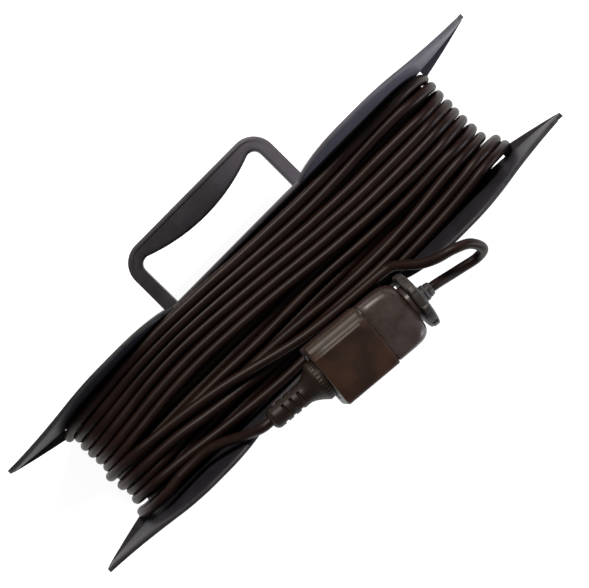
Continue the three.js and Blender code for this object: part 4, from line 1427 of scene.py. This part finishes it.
    def bush(self) -> bpy.types.Object:
        """The tapered, ringed bush that the lead leaves through.

        Returns:
            The new object.
        """
        x0 = self.cap_start + self.cap_thickness
        profile = [(61.7, 5.9), (x0 + 0.4, 5.9), (x0 + 0.9, 5.7), (x0 + 2.2, 5.5), (x0 + 2.5, 5.0),
                   (x0 + 3.2, 5.0), (x0 + 3.5, 5.2), (x0 + 4.8, 4.9), (x0 + 5.1, 4.45), (x0 + 5.8, 4.4),
                   (x0 + 6.1, 4.6), (x0 + 7.4, 4.3), (self.gland_end - 0.3, 4.0), (self.gland_end, 3.5)]
        return lofted("socket_cord_bush", turned(COUPLING, profile, 40))

    def build(self) -> None:
        """Every piece of the socket, dressed and riding on the reel."""
        pieces = [(self.front(), BROWN_GLOSS, "socket_front_shell", "socket_brown"),
                  (self.partition(), BROWN_GLOSS, None, "socket_brown"),
                  # The rear housing takes the lighter copy of the brown, a painted highlight.
                  (self.rear(), BROWN_PAINTED_HIGHLIGHT, "socket_rear_shell", "socket_brown"),
                  (self.seam(), GLAND_RUBBER, None, "gland_rubber"),
                  (self.cap(), CAP_BROWN, "socket_end_cap", "socket_brown"),
                  (self.bush(), GLAND_RUBBER, "socket_gland", "gland_rubber")]
        for thing, finish, node, slot in pieces:
            finish.dress(thing)
            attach(thing, Body.REEL.value)
            if node:
                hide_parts(node)
            log.info("%s", thing.name)


@dataclass
class Plug:
    """The moulded plug: double face ring, ribbed band, cone, slotted neck and rounded end."""

    rim: float = 13.5
    band: float = 12.5
    neck: float = 6.9
    cone_start: float = -5
    cone_end: float = -15
    neck_end: float = -36.5
    end: float = -39.95
    face: float = 8.7
    slot_pitch: float = 5.7
    slot_half: float = 1.0
    slot_floor: float = 4.8
    slots: int = 3
    ribs: int = 36
    rib_height: float = 0.32
    slot_sweep: float = 31
    around: int = 144

    def outline(self) -> list[tuple[float, float]]:
        """The turned outline from the face to the end of the neck.

        Returns:
            (x, radius) pairs.
        """
        rim, band = self.rim, self.band
        start = [(self.face, 11.9), (self.face, rim - 0.8), (self.face - 0.8, rim), (0.3, rim),
                 (0.0, rim - 0.2), (-0.15, rim - 0.75), (-0.45, rim - 0.75), (-0.6, rim - 0.1),
                 (-1.2, rim - 0.05), (-1.5, rim - 0.4), (-1.6, band), (-1.95, band), (-2.0, band + 0.01),
                 (-4.4, band + 0.01), (-4.45, band), (-4.9, band - 0.1)]
        cone = []
        for i in range(1, 12):
            t = i / 11
            ease = 1 - (1 - t) ** 1.55
            cone.append((self.cone_start + (self.cone_end - self.cone_start) * t,
                         self.band - 0.1 + (self.neck - self.band + 0.1) * ease))
        neck = []
        x = self.cone_end - 0.6
        while x > self.neck_end:
            neck.append((x, self.neck))
            x -= 0.475
        tail = [(self.neck_end, self.neck), (-37.6, 6.6), (-38.6, 5.9), (-39.4, 4.9), (self.end, 3.6)]
        return start + cone + neck + tail

    def radius(self, x: float, r: float, angle: float) -> float:
        """The local radius: ribs on the band, slots in the neck.

        Args:
            x: along the plug.
            r: the turned radius there.
            angle: in degrees.

        Returns:
            Millimetres.
        """
        if -4.42 < x < -1.98:
            return r + self.rib_height * (0.5 + 0.5 * math.cos(math.radians(angle * self.ribs)))
        offset = -self.slot_pitch / 2
        for k in range(self.slots):
            for shift, centre in ((0.0, 90), (0.0, 270), (offset, 0), (offset, 180)):
                middle = self.cone_end - self.slot_pitch * (k + 0.5) + shift
                off = abs((angle - centre + 180) % 360 - 180)
                if abs(x - middle) < self.slot_half and off < self.slot_sweep and x > self.neck_end:
                    return min(r, self.slot_floor / math.cos(math.radians(off)))
        return r

    def build(self) -> None:
        """The plug's body, riding on the plug."""
        rings = [circle(COUPLING, x, lambda a, x=x, r=r: self.radius(x, r, a), self.around)
                 for x, r in self.outline()]
        body = lofted("plug_moulded_body", rings, 33)
        PLUG_RUBBER.dress(body)
        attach(body, Body.PLUG.value)
        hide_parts("plug_body")
        log.info("plug_moulded_body")


def dress_small_parts() -> None:
    """Gives the CAD parts that stay their finishes."""
    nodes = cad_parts
    kinds = [("screw", STEEL), ("winding_core", CORE_PLASTIC), ("carrier", CREAM), ("clamp_bar", STEEL),
             ("contact_live", BRASS), ("contact_neutral", BRASS), ("plug_pin", NICKEL),
             ("plug_bridge", BRIDGE), ("core_live", CORE_BROWN), ("core_neutral", CORE_BLUE)]
    for name, node in sorted(nodes.items()):
        if node.hide_render:
            continue
        for key, finish in kinds:
            if key in name:
                finish.dress(node)
                break
        else:
            CHEEK_PLASTIC.dress(node)
        log.info("%s keeps its CAD shape", name)


# ---------------------------------------------------------------- studio
@dataclass
class Studio:
    """The pale floor, the soft lights and the camera."""

    distance: float = 1.6
    tilt: float = 1.9
    turn: float = 45.3
    field_width: float = 0.351
    aim: tuple[float, float] = (5.5, -0.45)
    sensor: float = 36
    floor_drop: float = 0.0004
    floor_glow: float = 0.9
    sky: float = 0.12

    def camera(self) -> None:
        """The camera over the reel, looking almost straight down."""
        c, s = math.cos(math.radians(self.turn)), math.sin(math.radians(self.turn))
        right = Vector((c, -s, 0))
        up = Vector((s, c, 0))
        lean = math.radians(self.tilt)
        back = Vector((0, math.sin(lean), math.cos(lean)))
        right = (right - back * right.dot(back)).normalized()
        up = back.cross(right)
        target = REEL.origin + right * self.aim[0] * MM + up * self.aim[1] * MM
        data = bpy.data.cameras.new("camera")
        data.sensor_width = self.sensor
        data.lens = self.sensor * self.distance / self.field_width
        data.clip_start, data.clip_end = 0.05, 20
        made = linked("camera", data)
        turned_by = Matrix((right, up, back)).transposed()
        made.matrix_world = Matrix.Translation(target + back * self.distance) @ turned_by.to_4x4()
        bpy.context.scene.camera = made

    def lamp(self, name: str, place: Point, size: float, power: float, tint: Colour) -> None:
        """A square soft light aimed at the reel.

        Args:
            name: its name.
            place: where it stands, in metres.
            size: its side in metres.
            power: in watts.
            tint: its colour.
        """
        data = bpy.data.lights.new(name, "AREA")
        data.size, data.energy, data.color = size, power, tint
        made = linked(name, data)
        made.location = place
        made.rotation_mode = "QUATERNION"
        made.rotation_quaternion = (REEL.origin - Vector(place)).to_track_quat("-Z", "Y")

    def build(self) -> None:
        """Floor, lights, surroundings and camera."""
        bm = bmesh.new()
        bmesh.ops.create_grid(bm, x_segments=8, y_segments=8, size=4)
        bmesh.ops.translate(bm, verts=bm.verts, vec=(0, 0, -self.floor_drop))
        mesh = bpy.data.meshes.new("floor")
        bm.to_mesh(mesh)
        bm.free()
        floor = linked("floor", mesh)
        paint = bpy.data.materials.new("floor_paper")
        paint.use_nodes = True
        sheet = NodeSheet(paint.node_tree)
        place = sheet.add("ShaderNodeTexCoord").outputs["Object"]
        tone = sheet.blend(sheet.noise(place, 3.0), (0.9, 0.9, 0.9, 1), (0.93, 0.93, 0.93, 1))
        bsdf = sheet.add("ShaderNodeBsdfPrincipled", {
            "Base Color": tone, "Roughness": 0.9, "Specular IOR Level": 0.1,
            "Emission Color": (1, 1, 1, 1), "Emission Strength": self.floor_glow,
        })
        sheet.add("ShaderNodeOutputMaterial", {"Surface": bsdf.outputs[0]})
        mesh.materials.append(paint)
        world = bpy.data.worlds.new("studio")
        world.use_nodes = True
        air = NodeSheet(world.node_tree)
        glow = air.add("ShaderNodeBackground", {"Color": (1.0, 1.0, 1.0, 1), "Strength": self.sky})
        air.add("ShaderNodeOutputWorld", {"Surface": glow.outputs[0]})
        bpy.context.scene.world = world
        self.lamp("warm_side", (0.3, 1.0, 1.25), 0.42, 20, (1.0, 0.93, 0.86))
        self.lamp("cool_side", (1.2, -1.15, 0.5), 0.5, 13, (0.82, 0.88, 1.0))
        bpy.context.scene.view_settings.view_transform = "Standard"
        self.camera()


def main() -> None:
    """Builds every sub-assembly in order."""
    logging.basicConfig(level=logging.INFO, format="%(name)s %(message)s")
    Studio().build()
    Hank().build()
    handled = Cheek(Side.HANDLE).build()
    Handle().build(handled)
    Cheek(Side.PLAIN).build()
    Socket().build()
    Plug().build()
    Leads().build()
    dress_small_parts()


if __name__ == "__main__":
    main()
